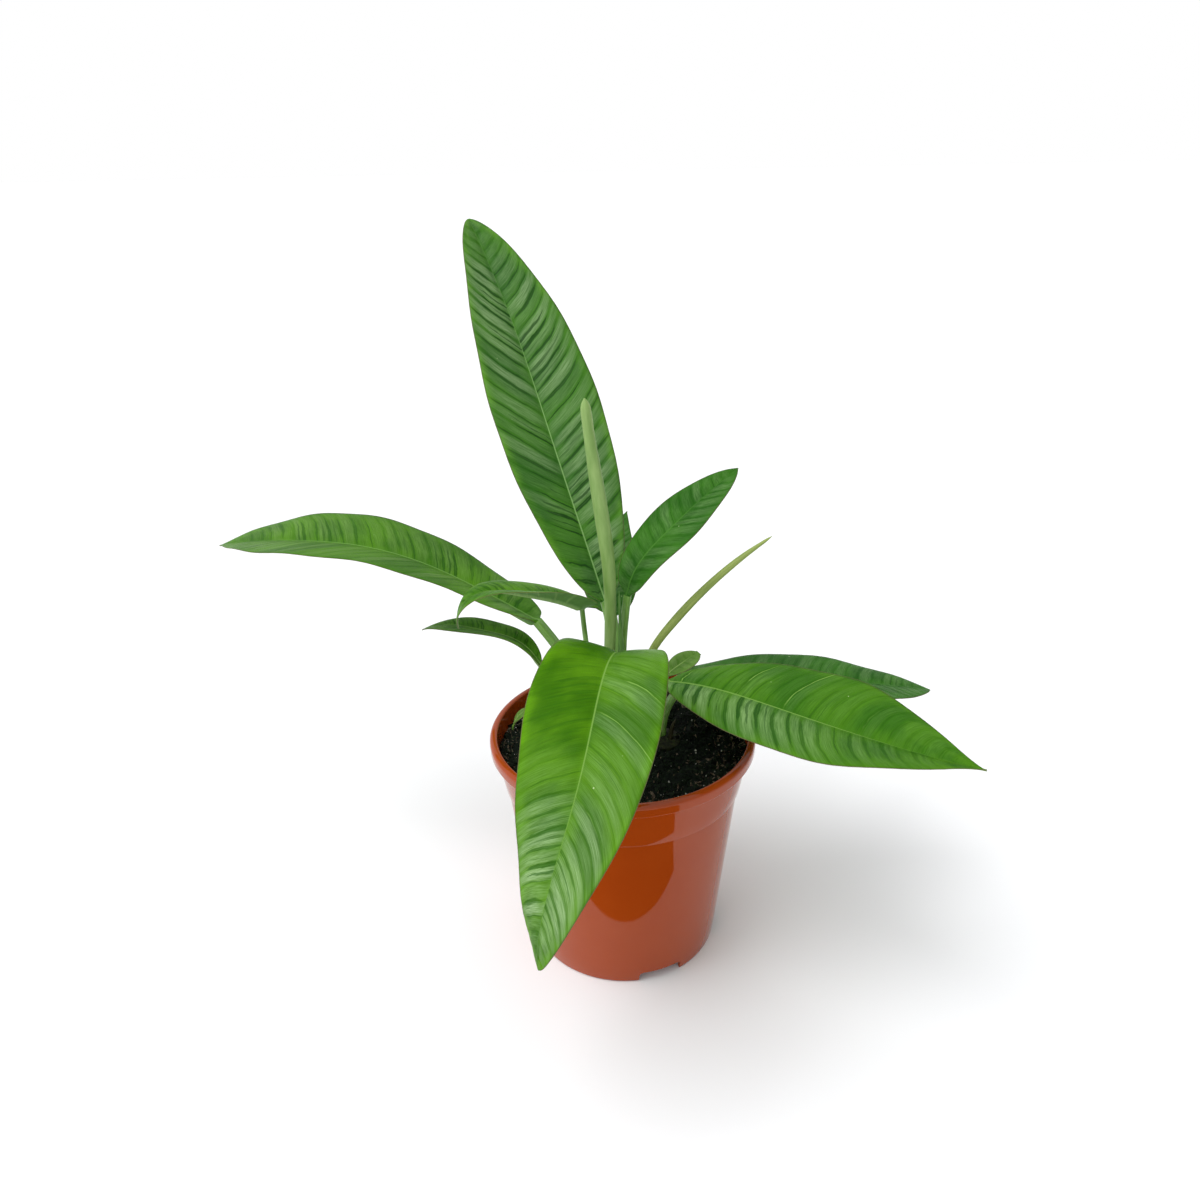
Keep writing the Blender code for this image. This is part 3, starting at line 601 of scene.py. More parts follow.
class Skin(Enum):
    """The upper faces that the leaves choose from."""

    # The crest colour of each skin is a painted sheen and its furrow colour a painted shade, each with
    # its own strength on each side and along the blade
    WAXY_SHEEN = LeafSkin("leaf_mid_green_waxy_cuticle", deep="#285f0e", bright="#3b7215", crest_sheen="#819f6d",
                    furrow_shade="#143f08", rib="#8ab56c", margin="#5c9424", sheen_left=(0.2, 0.8),
                    sheen_right=(0.8, 0.7), furrow_shade_left=(1.0, 0.9), furrow_shade_right=(1.0, 0.9),
                    shine=0.15, sheen_and_shade_span=(0.1, 0.6), stroke=(0.04, 0.16), weakest=0.7,
                    between=-0.8)
    DEEP = LeafSkin("leaf_deep_green_cuticle", deep="#23580f", bright="#356b1a", crest_sheen="#6a8c56",
                    furrow_shade="#143f0a", rib="#4b7c30", margin="#33691a", sheen_left=(0.38, 0.48),
                    sheen_right=(0.38, 0.48), furrow_shade_left=(0.3, 0.45), furrow_shade_right=(0.3, 0.45),
                    vein_line=(0.2, 0.2), stroke=(0.03, 0.14), shine=0.04)
    MID = LeafSkin("leaf_mid_green_cuticle", deep="#35660c", bright="#4b7d14", crest_sheen="#729252",
                   furrow_shade="#1d4d0a", rib="#76a450", margin="#3f7414", sheen_left=(0.5, 0.5),
                   sheen_right=(0.35, 0.4), furrow_shade_left=(0.5, 0.4), furrow_shade_right=(0.9, 0.6),
                   stroke=(0.04, 0.16), shine=0.06)
    LIGHT = LeafSkin("leaf_light_green_cuticle", deep="#386a10", bright="#52831f", crest_sheen="#6e914a",
                     furrow_shade="#245208", rib="#86a85c", margin="#5a8a2c", sheen_left=(0.3, 0.3),
                     sheen_right=(0.2, 0.2), furrow_shade_left=(0.85, 0.85), furrow_shade_right=(0.85, 0.85),
                     vein_line=(0.3, 0.3), shine=0.015)
    YOUNG = LeafSkin("leaf_young_olive_cuticle", deep="#4a7224", bright="#5f8836", crest_sheen="#86a262",
                     furrow_shade="#3f6a20", rib="#8fac62", margin="#6b9040", sheen_left=(0.3, 0.3),
                     sheen_right=(0.3, 0.3), furrow_shade_left=(0.3, 0.3), furrow_shade_right=(0.3, 0.3),
                     shine=0.05)
    FRONT = LeafSkin("leaf_bright_green_half_waxy_cuticle", deep="#376806", bright="#50820e",
                     crest_sheen="#8fae7a", furrow_shade="#1c5208", rib="#7ba44c", margin="#5c940f",
                     sheen_left=(0.3, 0.85), sheen_right=(0.0, 0.95), furrow_shade_left=(0.3, 0.55),
                     furrow_shade_right=(0.35, 0.75), vein_line=(0.9, 0.0), sheen_and_shade_span=(0.42, 0.84),
                     stroke=(0.05, 0.2), shine=0.04, trough_sheen=0.45)
    RIGHT = LeafSkin("leaf_bright_green_cuticle", deep="#31650e", bright="#457814", crest_sheen="#7da062",
                     furrow_shade="#14450a", rib="#7ba44c", margin="#4b7f12", sheen_left=(0.2, 0.1),
                     sheen_right=(0.85, 0.1), furrow_shade_left=(0.4, 0.2), furrow_shade_right=(0.8, 0.3),
                     vein_line=(0.9, 0.1), sheen_and_shade_span=(0.25, 0.85), stroke=(0.06, 0.22),
                     weakest=0.65, between=-1.0, shine=0.05)


# Leaves

@dataclass(frozen=True)
class Lattice:
    """The faces between closed rings of points, and over both ends."""

    rows: np.ndarray            # the ring of each face's corners
    columns: np.ndarray         # their places in the ring, its upper half first
    size: int                   # points in a ring

    @classmethod
    def over(cls, rings: int, size: int) -> "Lattice":
        """Lay faces over a number of rings."""
        row, column = (a.ravel() for a in np.meshgrid(np.arange(rings - 1), np.arange(size),
                                                      indexing="ij"))
        beside = (column + 1) % size
        strip = np.arange(size // 2 - 1)
        foot = np.stack([strip, size - 1 - strip, size - 2 - strip, strip + 1], axis=1)
        rows = np.vstack([np.stack([row, row, row + 1, row + 1], axis=1),
                          np.zeros_like(foot), np.full_like(foot, rings - 1)])
        columns = np.vstack([np.stack([column, beside, beside, column], axis=1),
                             foot, foot[:, [0, 3, 2, 1]]])
        return cls(rows, columns, size)

    def faces(self) -> np.ndarray:
        """Corner indices of each face."""
        return self.rows * self.size + self.columns

    def outward(self, points: np.ndarray) -> "Lattice":
        """Turn the faces over if the volume inside them comes out negative."""
        a, b, c, d = (points[self.faces()[:, i]] for i in range(4))
        volume = (np.einsum("ij,ij->i", a, np.cross(b, c))
                  + np.einsum("ij,ij->i", a, np.cross(c, d))).sum()
        return self if volume >= 0 else Lattice(self.rows[:, ::-1], self.columns[:, ::-1], self.size)

    def slots(self, stalk: int) -> np.ndarray:
        """Slot 0 for the upper side and the margins, 1 for the under side, 2 for the stalk's rings."""
        count = self.size // 2
        slots = np.where(self.columns.max(axis=1) >= count, 1, 0)
        for inner, outer in ((count - 1, count), (0, 2 * count - 1)):
            margin = (self.columns == inner).any(axis=1) & (self.columns == outer).any(axis=1)
            slots[margin] = 0
        slots[self.rows.min(axis=1) < stalk - 1] = 2
        return slots.astype(np.int32)


@dataclass(frozen=True)
class Leaf:
    """A leaf on its stalk. Angles at the blade's base, along it and at its tip, in that order."""

    name: str
    skin: Skin
    root: Pair                                  # where its stalk stands
    base: Triple                                # where stalk and blade meet
    length: float                               # of the blade along its midrib
    width: float
    heading: Triple                             # direction seen from above, 0 along +X
    climb: tuple[float, float, float, float]    # slope at 0, 1/5, 3/5 and all of the length
    widest: float                               # place of the greatest width
    fullness: Pair                              # outline to the base and to the tip: less is fuller
    roll: Pair                                  # turn about the midrib, + raises the left half
    fold_left: Pair                             # rise of each half from the midrib
    fold_right: Pair
    veins: int                                  # lateral veins on each side
    stalk: float                                # diameter of the stalk
    lobes: Pair = (0.0, 0.0)                    # reach of the left and right basal lobes
    wave: float = 0.4                           # height of the waves along the margins
    quilt: Pair = (0.35, 0.35)                  # height of the swellings at the base and at the tip
    reach: Pair = (0.45, 0.4)                   # how long the stalk holds its end directions
    slant: Pair = (0.46, 0.46)                  # lean of the left and right veins to the tip
    arch: float = 0.25                          # share of the slant that comes near the margin
    stalk_climb: float | None = None            # slope of the stalk's end, if not the blade's
    sink: float = 7.0
    tip_width: float = 1.2

    RIB_SAMPLES = 241
    ROOT_Z = 118.6
    THICKNESS = 0.5             # of a live blade, half of the solid's
    MARGIN_CURL = 15.0
    LOBE_PLACE = 0.05
    WAVE_LENGTH = 46.0
    RELIEF_FADE = 12.0
    STALK_TAPER = 0.12
    STALK_CHANNEL = 0.62
    STALK_ROWS = 40
    ROWS_PER_VEIN = 10
    HALF_COLUMNS = 20
    COLUMN_CROWD = 1.5          # how much closer the columns stand near the midrib
    SPACING_LUCK = 0.16         # how uneven the gaps between lateral veins are
    VEIN_GAP = 9.0
    ARCH_POWER = 2.4
    CREST = (0.5, 0.55)         # power of the swellings' outline and its mean, which is taken away
    CREST_LUCK = (0.45, 1.35)
    CHANNEL = (0.4, 2.6)        # depth and half width of the channel along the midrib
    RIDGE = (0.3, 0.6)          # height and half width of the midrib in it
    KEEL = (0.55, 0.93)         # its height as a share of the stalk, and the share lost to the tip
    RING_REACH = 86.0           # half angle of the stalk's upper and lower arcs
    DENT = (0.30, 0.35)         # depth and half width of the stalk's channel at the blade
    KEEL_HALF = (0.25, 0.6)     # its least half width, and growth with its height
    BULGE = (0.85, 0.2)         # how far in a swelling is highest, and what stays at the margin
    EDGE_THIN = 0.5             # share of the thickness that is lost at the margin
    SIDE_SHIFT = 0.2            # how far veins and waves of the two sides are out of step
    UNDER_SHIFT = 3.0           # keeps the stalk's two sides apart in the vein map
    FAR = 50.0                  # the stalk's distance from a margin

    @staticmethod
    def ease(places: list[float], values: tuple, x: np.ndarray) -> np.ndarray:
        """A smooth curve through a few values, in cubic pieces."""
        knots = np.asarray(places, float)
        heights = np.asarray(values, float)
        steps = np.diff(knots)
        slopes = np.diff(heights) / steps
        lean = np.empty(len(knots))
        lean[0] = slopes[0]
        lean[-1] = slopes[-1]
        lean[1:-1] = (slopes[:-1] * steps[1:] + slopes[1:] * steps[:-1]) / (steps[1:] + steps[:-1])
        piece = np.clip(np.searchsorted(knots, x, side="right") - 1, 0, len(steps) - 1)
        width = steps[piece]
        part = (x - knots[piece]) / width
        rise = 3 * part ** 2 - 2 * part ** 3
        return (heights[piece] * (1 - rise) + heights[piece + 1] * rise
                + width * lean[piece] * (part - 2 * part ** 2 + part ** 3)
                + width * lean[piece + 1] * (part ** 3 - part ** 2))

    @staticmethod
    def direction(heading: Any, climb: Any) -> np.ndarray:
        """Unit vectors of headings and slopes in radians."""
        return np.stack([np.cos(climb) * np.cos(heading), np.cos(climb) * np.sin(heading),
                         np.sin(climb)], axis=-1)

    def midrib(self) -> dict[str, np.ndarray]:
        """The blade's middle line, with the directions along, across and up from it."""
        share = np.linspace(0.0, 1.0, self.RIB_SAMPLES)
        climb = np.radians(self.ease([0.0, 0.2, 0.6, 1.0], self.climb, share))
        heading = np.radians(self.ease([0.0, 0.5, 1.0], self.heading, share))
        roll = np.radians(between(self.roll, share))[:, None]
        along = self.direction(heading, climb)
        middle = (along[1:] + along[:-1]) / 2 * self.length / (self.RIB_SAMPLES - 1)
        place = np.asarray(self.base) + np.vstack([np.zeros(3), np.cumsum(middle, axis=0)])
        level = np.stack([-np.sin(heading), np.cos(heading), np.zeros_like(heading)], axis=1)
        upright = np.cross(along, level)
        across = np.cos(roll) * level + np.sin(roll) * upright
        up = np.cos(roll) * upright - np.sin(roll) * level
        return {"share": share, "along": along, "place": place, "across": across, "up": up}

    def half_width(self, at: np.ndarray) -> np.ndarray:
        """Half the blade's width at shares of its length."""
        at = np.clip(at, 0.0, 1.0)
        swell = np.sin(np.pi * at ** (math.log(0.5) / math.log(self.widest)))
        power = np.where(at < self.widest, *self.fullness)
        return np.maximum(self.width / 2 * np.maximum(swell, 0.0) ** power, self.tip_width / 2)

    def vein_phase(self, share: np.ndarray, side: int) -> np.ndarray:
        """How many lateral veins of one side lie behind each share, whole numbers on the veins."""
        luck = np.random.default_rng(sum(self.name.encode()) + side)
        count = np.arange(self.veins + 1)
        spot = count + luck.uniform(-self.SPACING_LUCK, self.SPACING_LUCK, len(count))
        spot = spot + self.SIDE_SHIFT * side
        spot[0], spot[-1] = 0.0, self.veins
        return np.interp(share * self.veins, spot, count)

    def blade(self, rib: dict, share: np.ndarray, across: np.ndarray,
              phase: np.ndarray) -> tuple[np.ndarray, np.ndarray, np.ndarray]:
        """Upper and lower points of the blade on a grid.

        Args:
            rib: the midrib.
            share: shares of the length, as a column.
            across: places from the left margin, 1, to the right one, -1, as a row.
            phase: the vein phase on the grid.

        Returns:
            Upper points, lower points, and each point's share, distance from the midrib and
            distance from the margin in millimetres.
        """
        side = np.where(across >= 0.0, 1.0, -1.0)
        out = np.abs(across)
        forward = (1 - self.arch) * out + self.arch * out ** self.ARCH_POWER
        slant = np.where(side > 0, *self.slant)
        at = np.minimum(share + slant * share * (1 - share) * forward, 1.0)
        lobe = np.where(side > 0, *self.lobes) * out
        lobe = lobe * share / self.LOBE_PLACE * np.exp(1 - share / self.LOBE_PLACE)
        fold = np.where(side > 0, between(self.fold_left, at), between(self.fold_right, at))
        start = np.radians(fold)
        curl = math.radians(self.MARGIN_CURL)
        end = start - curl * out
        half = self.half_width(at)
        sideways = half * (np.sin(start) - np.sin(end)) / curl
        rise = half * (np.cos(end) - np.cos(start)) / curl
        reach = at - lobe / self.length
        look = np.maximum(reach, 0.0)
        along, across_way, up, place = (
            np.stack([np.interp(look, rib["share"], rib[key][:, i]) for i in range(3)], axis=-1)
            for key in ("along", "across", "up", "place"))
        across_way = across_way * side[..., None]
        point = place + along * (np.minimum(reach, 0.0) * self.length)[..., None]
        normal = up * np.cos(end)[..., None] - across_way * np.sin(end)[..., None]

        fade = np.minimum(1.0, half / self.RELIEF_FADE)
        apart = half * out
        crest = np.abs(np.sin(np.pi * phase)) ** self.CREST[0] - self.CREST[1]
        random = np.random.default_rng(sum(self.name.encode()) + 5)
        luck = random.uniform(*self.CREST_LUCK, self.veins + 2)
        height = between(self.quilt, at) * np.interp(
            phase + 0.5 * (side < 0), np.arange(self.veins + 2), luck)
        bulge = np.sin(np.pi * out ** self.BULGE[0]) + self.BULGE[1] * out ** 4
        swelling = height * fade * crest * bulge
        waves = self.wave * fade * out ** 3 * np.sin(
            math.tau * (at * self.length / self.WAVE_LENGTH + self.SIDE_SHIFT * side))
        channel, ridge = (tall * np.exp(-(apart / wide) ** 2)
                          for tall, wide in (self.CHANNEL, self.RIDGE))
        lift = swelling + waves + (ridge - channel) * fade
        keel = self.stalk * self.KEEL[0] * (1 - self.KEEL[1] * at)
        body = self.THICKNESS * (1 - self.EDGE_THIN * out ** 8)
        keel_half = self.KEEL_HALF[0] + self.KEEL_HALF[1] * keel
        depth = body + keel * np.exp(-(apart / keel_half) ** 2)
        middle = point + across_way * sideways[..., None] + up * rise[..., None]
        upper = middle + normal * (lift + body / 2)[..., None]
        lower = middle + normal * (lift + body / 2 - depth)[..., None]
        details = np.stack([at, apart * side, half - apart], axis=-1)
        return upper, lower, details

    def stalk_rings(self, rib: dict, turn: np.ndarray) -> tuple[np.ndarray, np.ndarray]:
        """The stalk's rings from its foot to the blade's base.

        Args:
            rib: the midrib.
            turn: places across the ring, 1 at its left and -1 at its right.

        Returns:
            Rings of points, over the top and back underneath, and each ring's distance from the base.
        """
        foot = np.array([*self.root, self.ROOT_Z])
        base = np.asarray(self.base, float)
        span = np.linalg.norm(base - foot)
        end = rib["along"][0]
        if self.stalk_climb is not None:
            end = self.direction(math.radians(self.heading[0]), math.radians(self.stalk_climb))
        first = foot + np.array([0.0, 0.0, span * self.reach[0]])
        second = base - end * span * self.reach[1]
        across = rib["across"][0]
        rings = []
        places = []
        for t in np.linspace(1.0, 0.0, self.STALK_ROWS):
            point = ((1 - t) ** 3 * foot + 3 * (1 - t) ** 2 * t * first
                     + 3 * (1 - t) * t ** 2 * second + t ** 3 * base)
            along = (3 * (1 - t) ** 2 * (first - foot) + 6 * (1 - t) * t * (second - first)
                     + 3 * t ** 2 * (base - second))
            along /= np.linalg.norm(along)
            across = across - along * np.dot(across, along)
            across /= np.linalg.norm(across)
            up = np.cross(along, across)
            radius = self.stalk / 2 * (1.0 - self.STALK_TAPER * t)
            upper = np.radians(90 - self.RING_REACH * turn)
            lower = np.radians(270 + self.RING_REACH * turn[::-1])
            ridge = 1 - self.DENT[0] * np.exp(-(turn / self.DENT[1]) ** 2) * t
            rings.append(np.vstack([
                point + radius * (np.outer(np.cos(upper), across)
                                  + np.outer(np.sin(upper) * self.STALK_CHANNEL * ridge, up)),
                point + radius * (np.outer(np.cos(lower), across) + np.outer(np.sin(lower), up))]))
            places.append((1 - t) * span)
        rings.append(rings[-1] - np.array([0.0, 0.0, self.sink]))
        places.append(span + self.sink)
        return np.array(rings[::-1]), np.array(places[::-1])

    def build(self, skins: dict, back: Material, petiole: Material) -> None:
        """Build the leaf as one closed mesh, dress it and put it in its node's place.

        Args:
            skins: the material of each upper face.
            back: the material of the under face.
            petiole: the material of the stalk.
        """
        turn = np.linspace(1.0, -1.0, 2 * self.HALF_COLUMNS + 1)
        across = np.sign(turn) * np.abs(turn) ** self.COLUMN_CROWD
        rows = self.veins * self.ROWS_PER_VEIN
        share = (np.arange(1, rows + 1) / rows)[:, None]
        phases = {side: self.vein_phase(share, side) for side in (1, -1)}
        phase = np.where(across[None, :] > 0, phases[1], phases[-1])
        rib = self.midrib()
        upper, lower, details = self.blade(rib, share, across[None, :] + 0 * share, phase)
        stalk, places = self.stalk_rings(rib, turn)

        # The first half vein's rows grow out of the stalk's last ring
        blade = np.concatenate([upper, lower[:, ::-1]], axis=1)
        grown = np.minimum(share[:, 0] * 2 * self.veins, 1.0)
        grown = (grown * (2 - grown))[:, None, None]
        neck = stalk[-1][None] + (share * self.length)[..., None] * rib["along"][0]
        blade = neck * (1 - grown) + blade * grown
        rings = np.concatenate([stalk, blade])

        points = rings.reshape(-1, 3)
        lattice = Lattice.over(*rings.shape[:2]).outward(points)
        leaf = mesh_object(self.name + "_fine", points, lattice.faces().tolist(),
                           [skins[self.skin], back, petiole])
        leaf.data.polygons.foreach_set("material_index", lattice.slots(len(stalk)))
        self.add_maps(leaf.data, lattice, phases, across, turn, places, details)
        settle(leaf, self.name)

    def add_maps(self, mesh: Mesh, lattice: Lattice, phases: dict, across: np.ndarray,
                 turn: np.ndarray, places: np.ndarray, details: np.ndarray) -> None:
        """Give the mesh its vein map and its places on the blade.

        Args:
            mesh: the leaf's mesh.
            lattice: the faces of that mesh.
            phases: the vein phase of each side, along the blade.
            across: the blade's columns.
            turn: the stalk's columns.
            places: the stalk rings' distances from the base.
            details: share, distance from the midrib and from the margin over the blade.
        """
        count = len(across)
        rings = len(places)
        under = lattice.columns >= count
        to_upper = np.where(under, 2 * count - 1 - lattice.columns, lattice.columns)
        on_left = to_upper.mean(axis=1) < self.HALF_COLUMNS
        on_blade = lattice.rows >= rings
        blade_row = np.clip(lattice.rows - rings, 0, len(details) - 1)
        side_phase = np.where(on_left[:, None], phases[1][:, 0][blade_row], phases[-1][:, 0][blade_row])
        stalk_phase = -places[np.minimum(lattice.rows, rings - 1)] / self.VEIN_GAP
        u = np.where(on_blade, side_phase, stalk_phase)
        v = np.where(on_blade, across[to_upper], turn[to_upper] + under * self.UNDER_SHIFT)
        uv = mesh.uv_layers.new(name="vein_uv")
        uv.data.foreach_set("uv", np.stack([u, v], axis=-1).ravel())
        stalk_details = np.zeros((rings, 2 * count, 3))
        stalk_details[..., 2] = self.FAR
        both = np.concatenate([details, details[:, ::-1]], axis=1)
        spot = np.concatenate([stalk_details, both]).reshape(-1)
        mesh.attributes.new("leaf_place", "FLOAT_VECTOR", "POINT").data.foreach_set("vector", spot)


@dataclass(frozen=True)
class RolledLeaf:
    """A leaf still rolled up, or a sheath: points along its middle with the diameter at each."""

    name: str
    points: tuple[tuple[float, float, float, float], ...]
    seam: float = 0.10          # how far the outer edge of the roll stands out, as a share of its radius
    twist: float = 1.2          # turn of the seam over the length, in radians
    sides: int = 40
    spacing: float = 1.5

    TIP_LENGTH = 4.0            # over which the free end rounds off

    def build(self, finish: Material) -> None:
        """Sweep the rolled section along the path in a node tree, and take its place.

        Args:
            finish: the roll's material.
        """
        knots = np.array(self.points)
        runs = np.linalg.norm(np.diff(knots[:, :3], axis=0), axis=1)
        places = np.concatenate([[0.0], np.cumsum(runs)])
        stations = np.linspace(0.0, places[-1], int(places[-1] / self.spacing))
        columns = [Leaf.ease(list(places), knots[:, i], stations) for i in range(4)]
        line = np.stack(columns[:3], axis=1)
        path = mesh_object(self.name + "_path", line, [], [])
        path.data.edges.add(len(line) - 1)
        path.data.edges.foreach_set("vertices", np.stack([np.arange(len(line) - 1),
                                                          np.arange(1, len(line))], axis=1).ravel())
        girth = path.data.attributes.new("girth", "FLOAT", "POINT")
        end_round = np.sqrt(np.clip((places[-1] - stations) / self.TIP_LENGTH, 0.02, 1.0))
        girth.data.foreach_set("value", columns[3] / 2 * MM * end_round)
        piece = self.maker().run(path, self.name + "_fine", {
            "Seam": self.seam, "Twist": self.twist, "Sides": self.sides, "Finish": finish})
        piece.data.shade_smooth()
        settle(piece, self.name)

    @staticmethod
    def maker() -> Maker:
        """The tree that rolls a section round a path."""
        maker = Maker("rolled_leaf", {"Seam": "Float", "Twist": "Float", "Sides": "Int"})
        curve = maker.add("GeometryNodeMeshToCurve", {0: (maker.given, "Mesh")})
        way = maker.add("GeometryNodeSplineParameter")
        tilt = maker.product((way, "Factor"), (maker.given, "Twist"))
        turned = maker.add("GeometryNodeSetCurveTilt", {"Curve": curve, "Tilt": tilt})
        along = maker.stored(turned, "roll_along", (way, "Length"))
        ring = maker.add("GeometryNodeCurvePrimitiveCircle",
                         {"Resolution": (maker.given, "Sides"), "Radius": 1.0})
        around = maker.add("GeometryNodeSplineParameter")
        size = maker.maths("SUBTRACT", 1.0, maker.product((around, "Factor"), (maker.given, "Seam")))
        coiled = maker.scaled(maker.add("GeometryNodeInputPosition"), size)
        section = maker.add("GeometryNodeSetPosition", {"Geometry": ring, "Position": coiled})
        marked = maker.stored(section, "roll_around", (around, "Factor"))
        swept = maker.add("GeometryNodeCurveToMesh",
                          {"Curve": along, "Profile Curve": marked, "Scale": maker.named("girth"),
                           "Fill Caps": True})
        places = maker.add("ShaderNodeCombineXYZ", {0: maker.named("roll_along"),
                                                    1: maker.named("roll_around")})
        maker.close(maker.stored(swept, "roll_place", places, "FLOAT_VECTOR"))
        return maker


# Pot and soil

@dataclass(frozen=True)
class Pot:
    """The moulded pot: a rolled lip, a flared collar, a tapered wall and a notched foot ring."""

    radius: float = 70.0
    height: float = 127.3
    wall: float = 1.6
    lip_height: float = 6.8
    lip_step: float = 2.2
    collar_foot_z: float = 99.0
    collar_top_radius: float = 67.2
    collar_foot_radius: float = 63.0
    collar_step: float = 1.1
    foot_radius: float = 51.2
    floor_z: float = 6.5
    foot_ring_width: float = 2.4
    steps: int = 192
    notch_width: float = 24.0
    notch_height: float = 6.2
    notch_angles: tuple[float, ...] = (-69.0, -3.0, 111.0, 177.0)
    notch_round: float = 2.2
    drain_radius: float = 4.0
    drain_circle: float = 33.0
    drain_count: int = 6

    CORNER = 3.0                # radii of the section's roundings
    LIP_IN = 1.1
    LIP_OUT = 2.4
    LIP_FOOT = 1.0
    LIP_FILLET = 0.4
    FOOT = 1.5
    RING = 0.5
    FLOOR_FILLET = 0.8
    LIP_LEAN = 0.1              # how far the lip's side leans in towards its foot
    CLOSE = 0.5                 # distance between neighbouring points at the collar's ends
    RIM_WALL = 1.9              # thickness of the wall behind the lip's step
    COLLAR_EDGE = ((0.12, 0.0), (0.5, 0.25))        # how far in and down its rounded edge goes
    COLLAR_DROP = 0.8           # height of the step under the collar
    INNER_HEIGHTS = (40.0, 70.0, 97.0, 101.5)       # where the section has points
    COLLAR_HEIGHTS = (115.0, 107.0)
    WALL_HEIGHTS = (80.0, 55.0, 30.0, 12.0, 2.5)
    MERGE = 0.02                # distance within which the turned section's points become one
    SHARP = 32.0                # greatest angle in degrees that is shaded smooth
    CUTTER = 10.0               # depth of a notch's cutter; a drain hole's is twice as long

    def wall_radius(self, height: float) -> float:
        """Outside radius of the pot below its lip."""
        if height >= self.collar_foot_z:
            top = self.height - self.lip_height
            share = min((height - self.collar_foot_z) / (top - self.collar_foot_z), 1.0)
            return between((self.collar_foot_radius, self.collar_top_radius), share)
        top_radius = self.collar_foot_radius - self.collar_step
        return self.foot_radius + (top_radius - self.foot_radius) * height / self.collar_foot_z

    @staticmethod
    def arc(centre: Pair, radius: float, start: float, end: float, count: int = 6) -> list[Pair]:
        """Points on an arc in the section, by its centre, radius and angles in degrees."""
        angles = np.radians(np.linspace(start, end, count))
        spokes = [polar(radius, a) for a in angles]
        return [(centre[0] + x, centre[1] + y) for x, y in spokes]

    def profile(self) -> list[Pair]:
        """The pot's section: up the inside, over the lip, down the outside, and back."""
        lip_foot = self.height - self.lip_height
        floor_top = self.floor_z + self.wall
        corner = self.wall_radius(floor_top) - self.wall
        inside = [(0.0, floor_top)]
        inside += self.arc((corner - self.CORNER, floor_top + self.CORNER), self.CORNER, -90, 0)
        inside += [(self.wall_radius(z) - self.wall, z) for z in (*self.INNER_HEIGHTS, lip_foot)]
        top_in = self.radius - self.lip_step - self.RIM_WALL
        top_out = self.radius - self.LIP_OUT
        lip = self.arc((top_in + self.LIP_IN, self.height - self.LIP_IN), self.LIP_IN, 180, 90)
        lip += self.arc((top_out, self.height - self.LIP_OUT), self.LIP_OUT, 90, 0, 9)
        lip_out = self.radius - self.LIP_LEAN - self.LIP_FOOT
        lip += self.arc((lip_out, lip_foot + self.LIP_FOOT), self.LIP_FOOT, 0, -90)
        lip += self.arc((self.collar_top_radius + self.LIP_FILLET, lip_foot - self.CLOSE),
                        self.LIP_FILLET, 90, 180, 4)
        collar_foot = self.collar_foot_z
        step_foot = collar_foot - self.COLLAR_DROP
        outside = [(self.wall_radius(z), z) for z in (*self.COLLAR_HEIGHTS, collar_foot + self.CLOSE)]
        outside += [(self.collar_foot_radius - inset, collar_foot - drop)
                    for inset, drop in self.COLLAR_EDGE]
        outside.append((self.wall_radius(step_foot), step_foot))
        outside += [(self.wall_radius(z), z) for z in self.WALL_HEIGHTS]
        ring_in = self.foot_radius - self.foot_ring_width
        foot = self.arc((self.foot_radius - self.FOOT, self.FOOT), self.FOOT, 0, -90)
        foot += self.arc((ring_in + self.RING, self.RING), self.RING, -90, -180, 4)
        foot += self.arc((ring_in - self.FLOOR_FILLET, self.floor_z - self.FLOOR_FILLET),
                         self.FLOOR_FILLET, 0, 90, 4)
        return inside + lip + outside + foot + [(0.0, self.floor_z)]

    def notches(self) -> list[Object]:
        """The cutters of the notches in the foot ring."""
        cutters = []
        middle = (self.foot_radius - self.foot_ring_width / 2) * MM
        size = Matrix.Diagonal((self.CUTTER * MM, self.notch_width * MM, 2 * self.notch_height * MM, 1.0))
        for angle in self.notch_angles:
            bpy.ops.mesh.primitive_cube_add(size=1.0)
            notch = bpy.context.active_object
            turn = math.radians(angle)
            notch.data.transform(size)
            notch.matrix_world = (Matrix.Translation((*polar(middle, turn), 0.0))
                                  @ Matrix.Rotation(turn, 4, "Z"))
            bevel = notch.modifiers.new("round", "BEVEL")
            bevel.width = self.notch_round * MM
            bevel.segments = 4
            cutters.append(notch)
        return cutters

    def drains(self) -> list[Object]:
        """The cutters of the drain holes."""
        cutters = []
        for index in range(self.drain_count):
            turn = math.tau * (index + 0.5) / self.drain_count
            place = (*polar(self.drain_circle * MM, turn), self.floor_z * MM)
            bpy.ops.mesh.primitive_cylinder_add(vertices=48, radius=self.drain_radius * MM,
                                                depth=2 * self.CUTTER * MM, location=place)
            cutters.append(bpy.context.active_object)
        return cutters

    def build(self, plastic: Material) -> None:
        """Turn the section, cut notches and drain holes, and take the pot's place.

        Args:
            plastic: the pot's material.
        """
        section = self.profile()
        mesh = bpy.data.meshes.new("pot_section")
        mesh.from_pydata([(r * MM, 0.0, z * MM) for r, z in section],
                         [(i, i + 1) for i in range(len(section) - 1)], [])
        pot = linked("pot_section", mesh)
        screw = pot.modifiers.new("turn", "SCREW")
        screw.steps = screw.render_steps = self.steps
        screw.use_merge_vertices = True
        screw.merge_threshold = self.MERGE * MM
        cutters = self.notches() + self.drains()
        for cutter in cutters:
            modifier = pot.modifiers.new("cut", "BOOLEAN")
            modifier.operation = "DIFFERENCE"
            modifier.object = cutter
        bpy.context.view_layer.update()
        piece = plain_mesh(pot, "pot_fine")
        for cutter in cutters:
            bpy.data.objects.remove(cutter)
        piece.data.transform(Matrix.Translation(Vector(POT_AXIS) * MM))
        piece.data.materials.clear()
        piece.data.materials.append(plastic)
        piece.data.shade_smooth()
        piece.data.set_sharp_from_angle(angle=math.radians(self.SHARP))
        settle(piece, "pot")


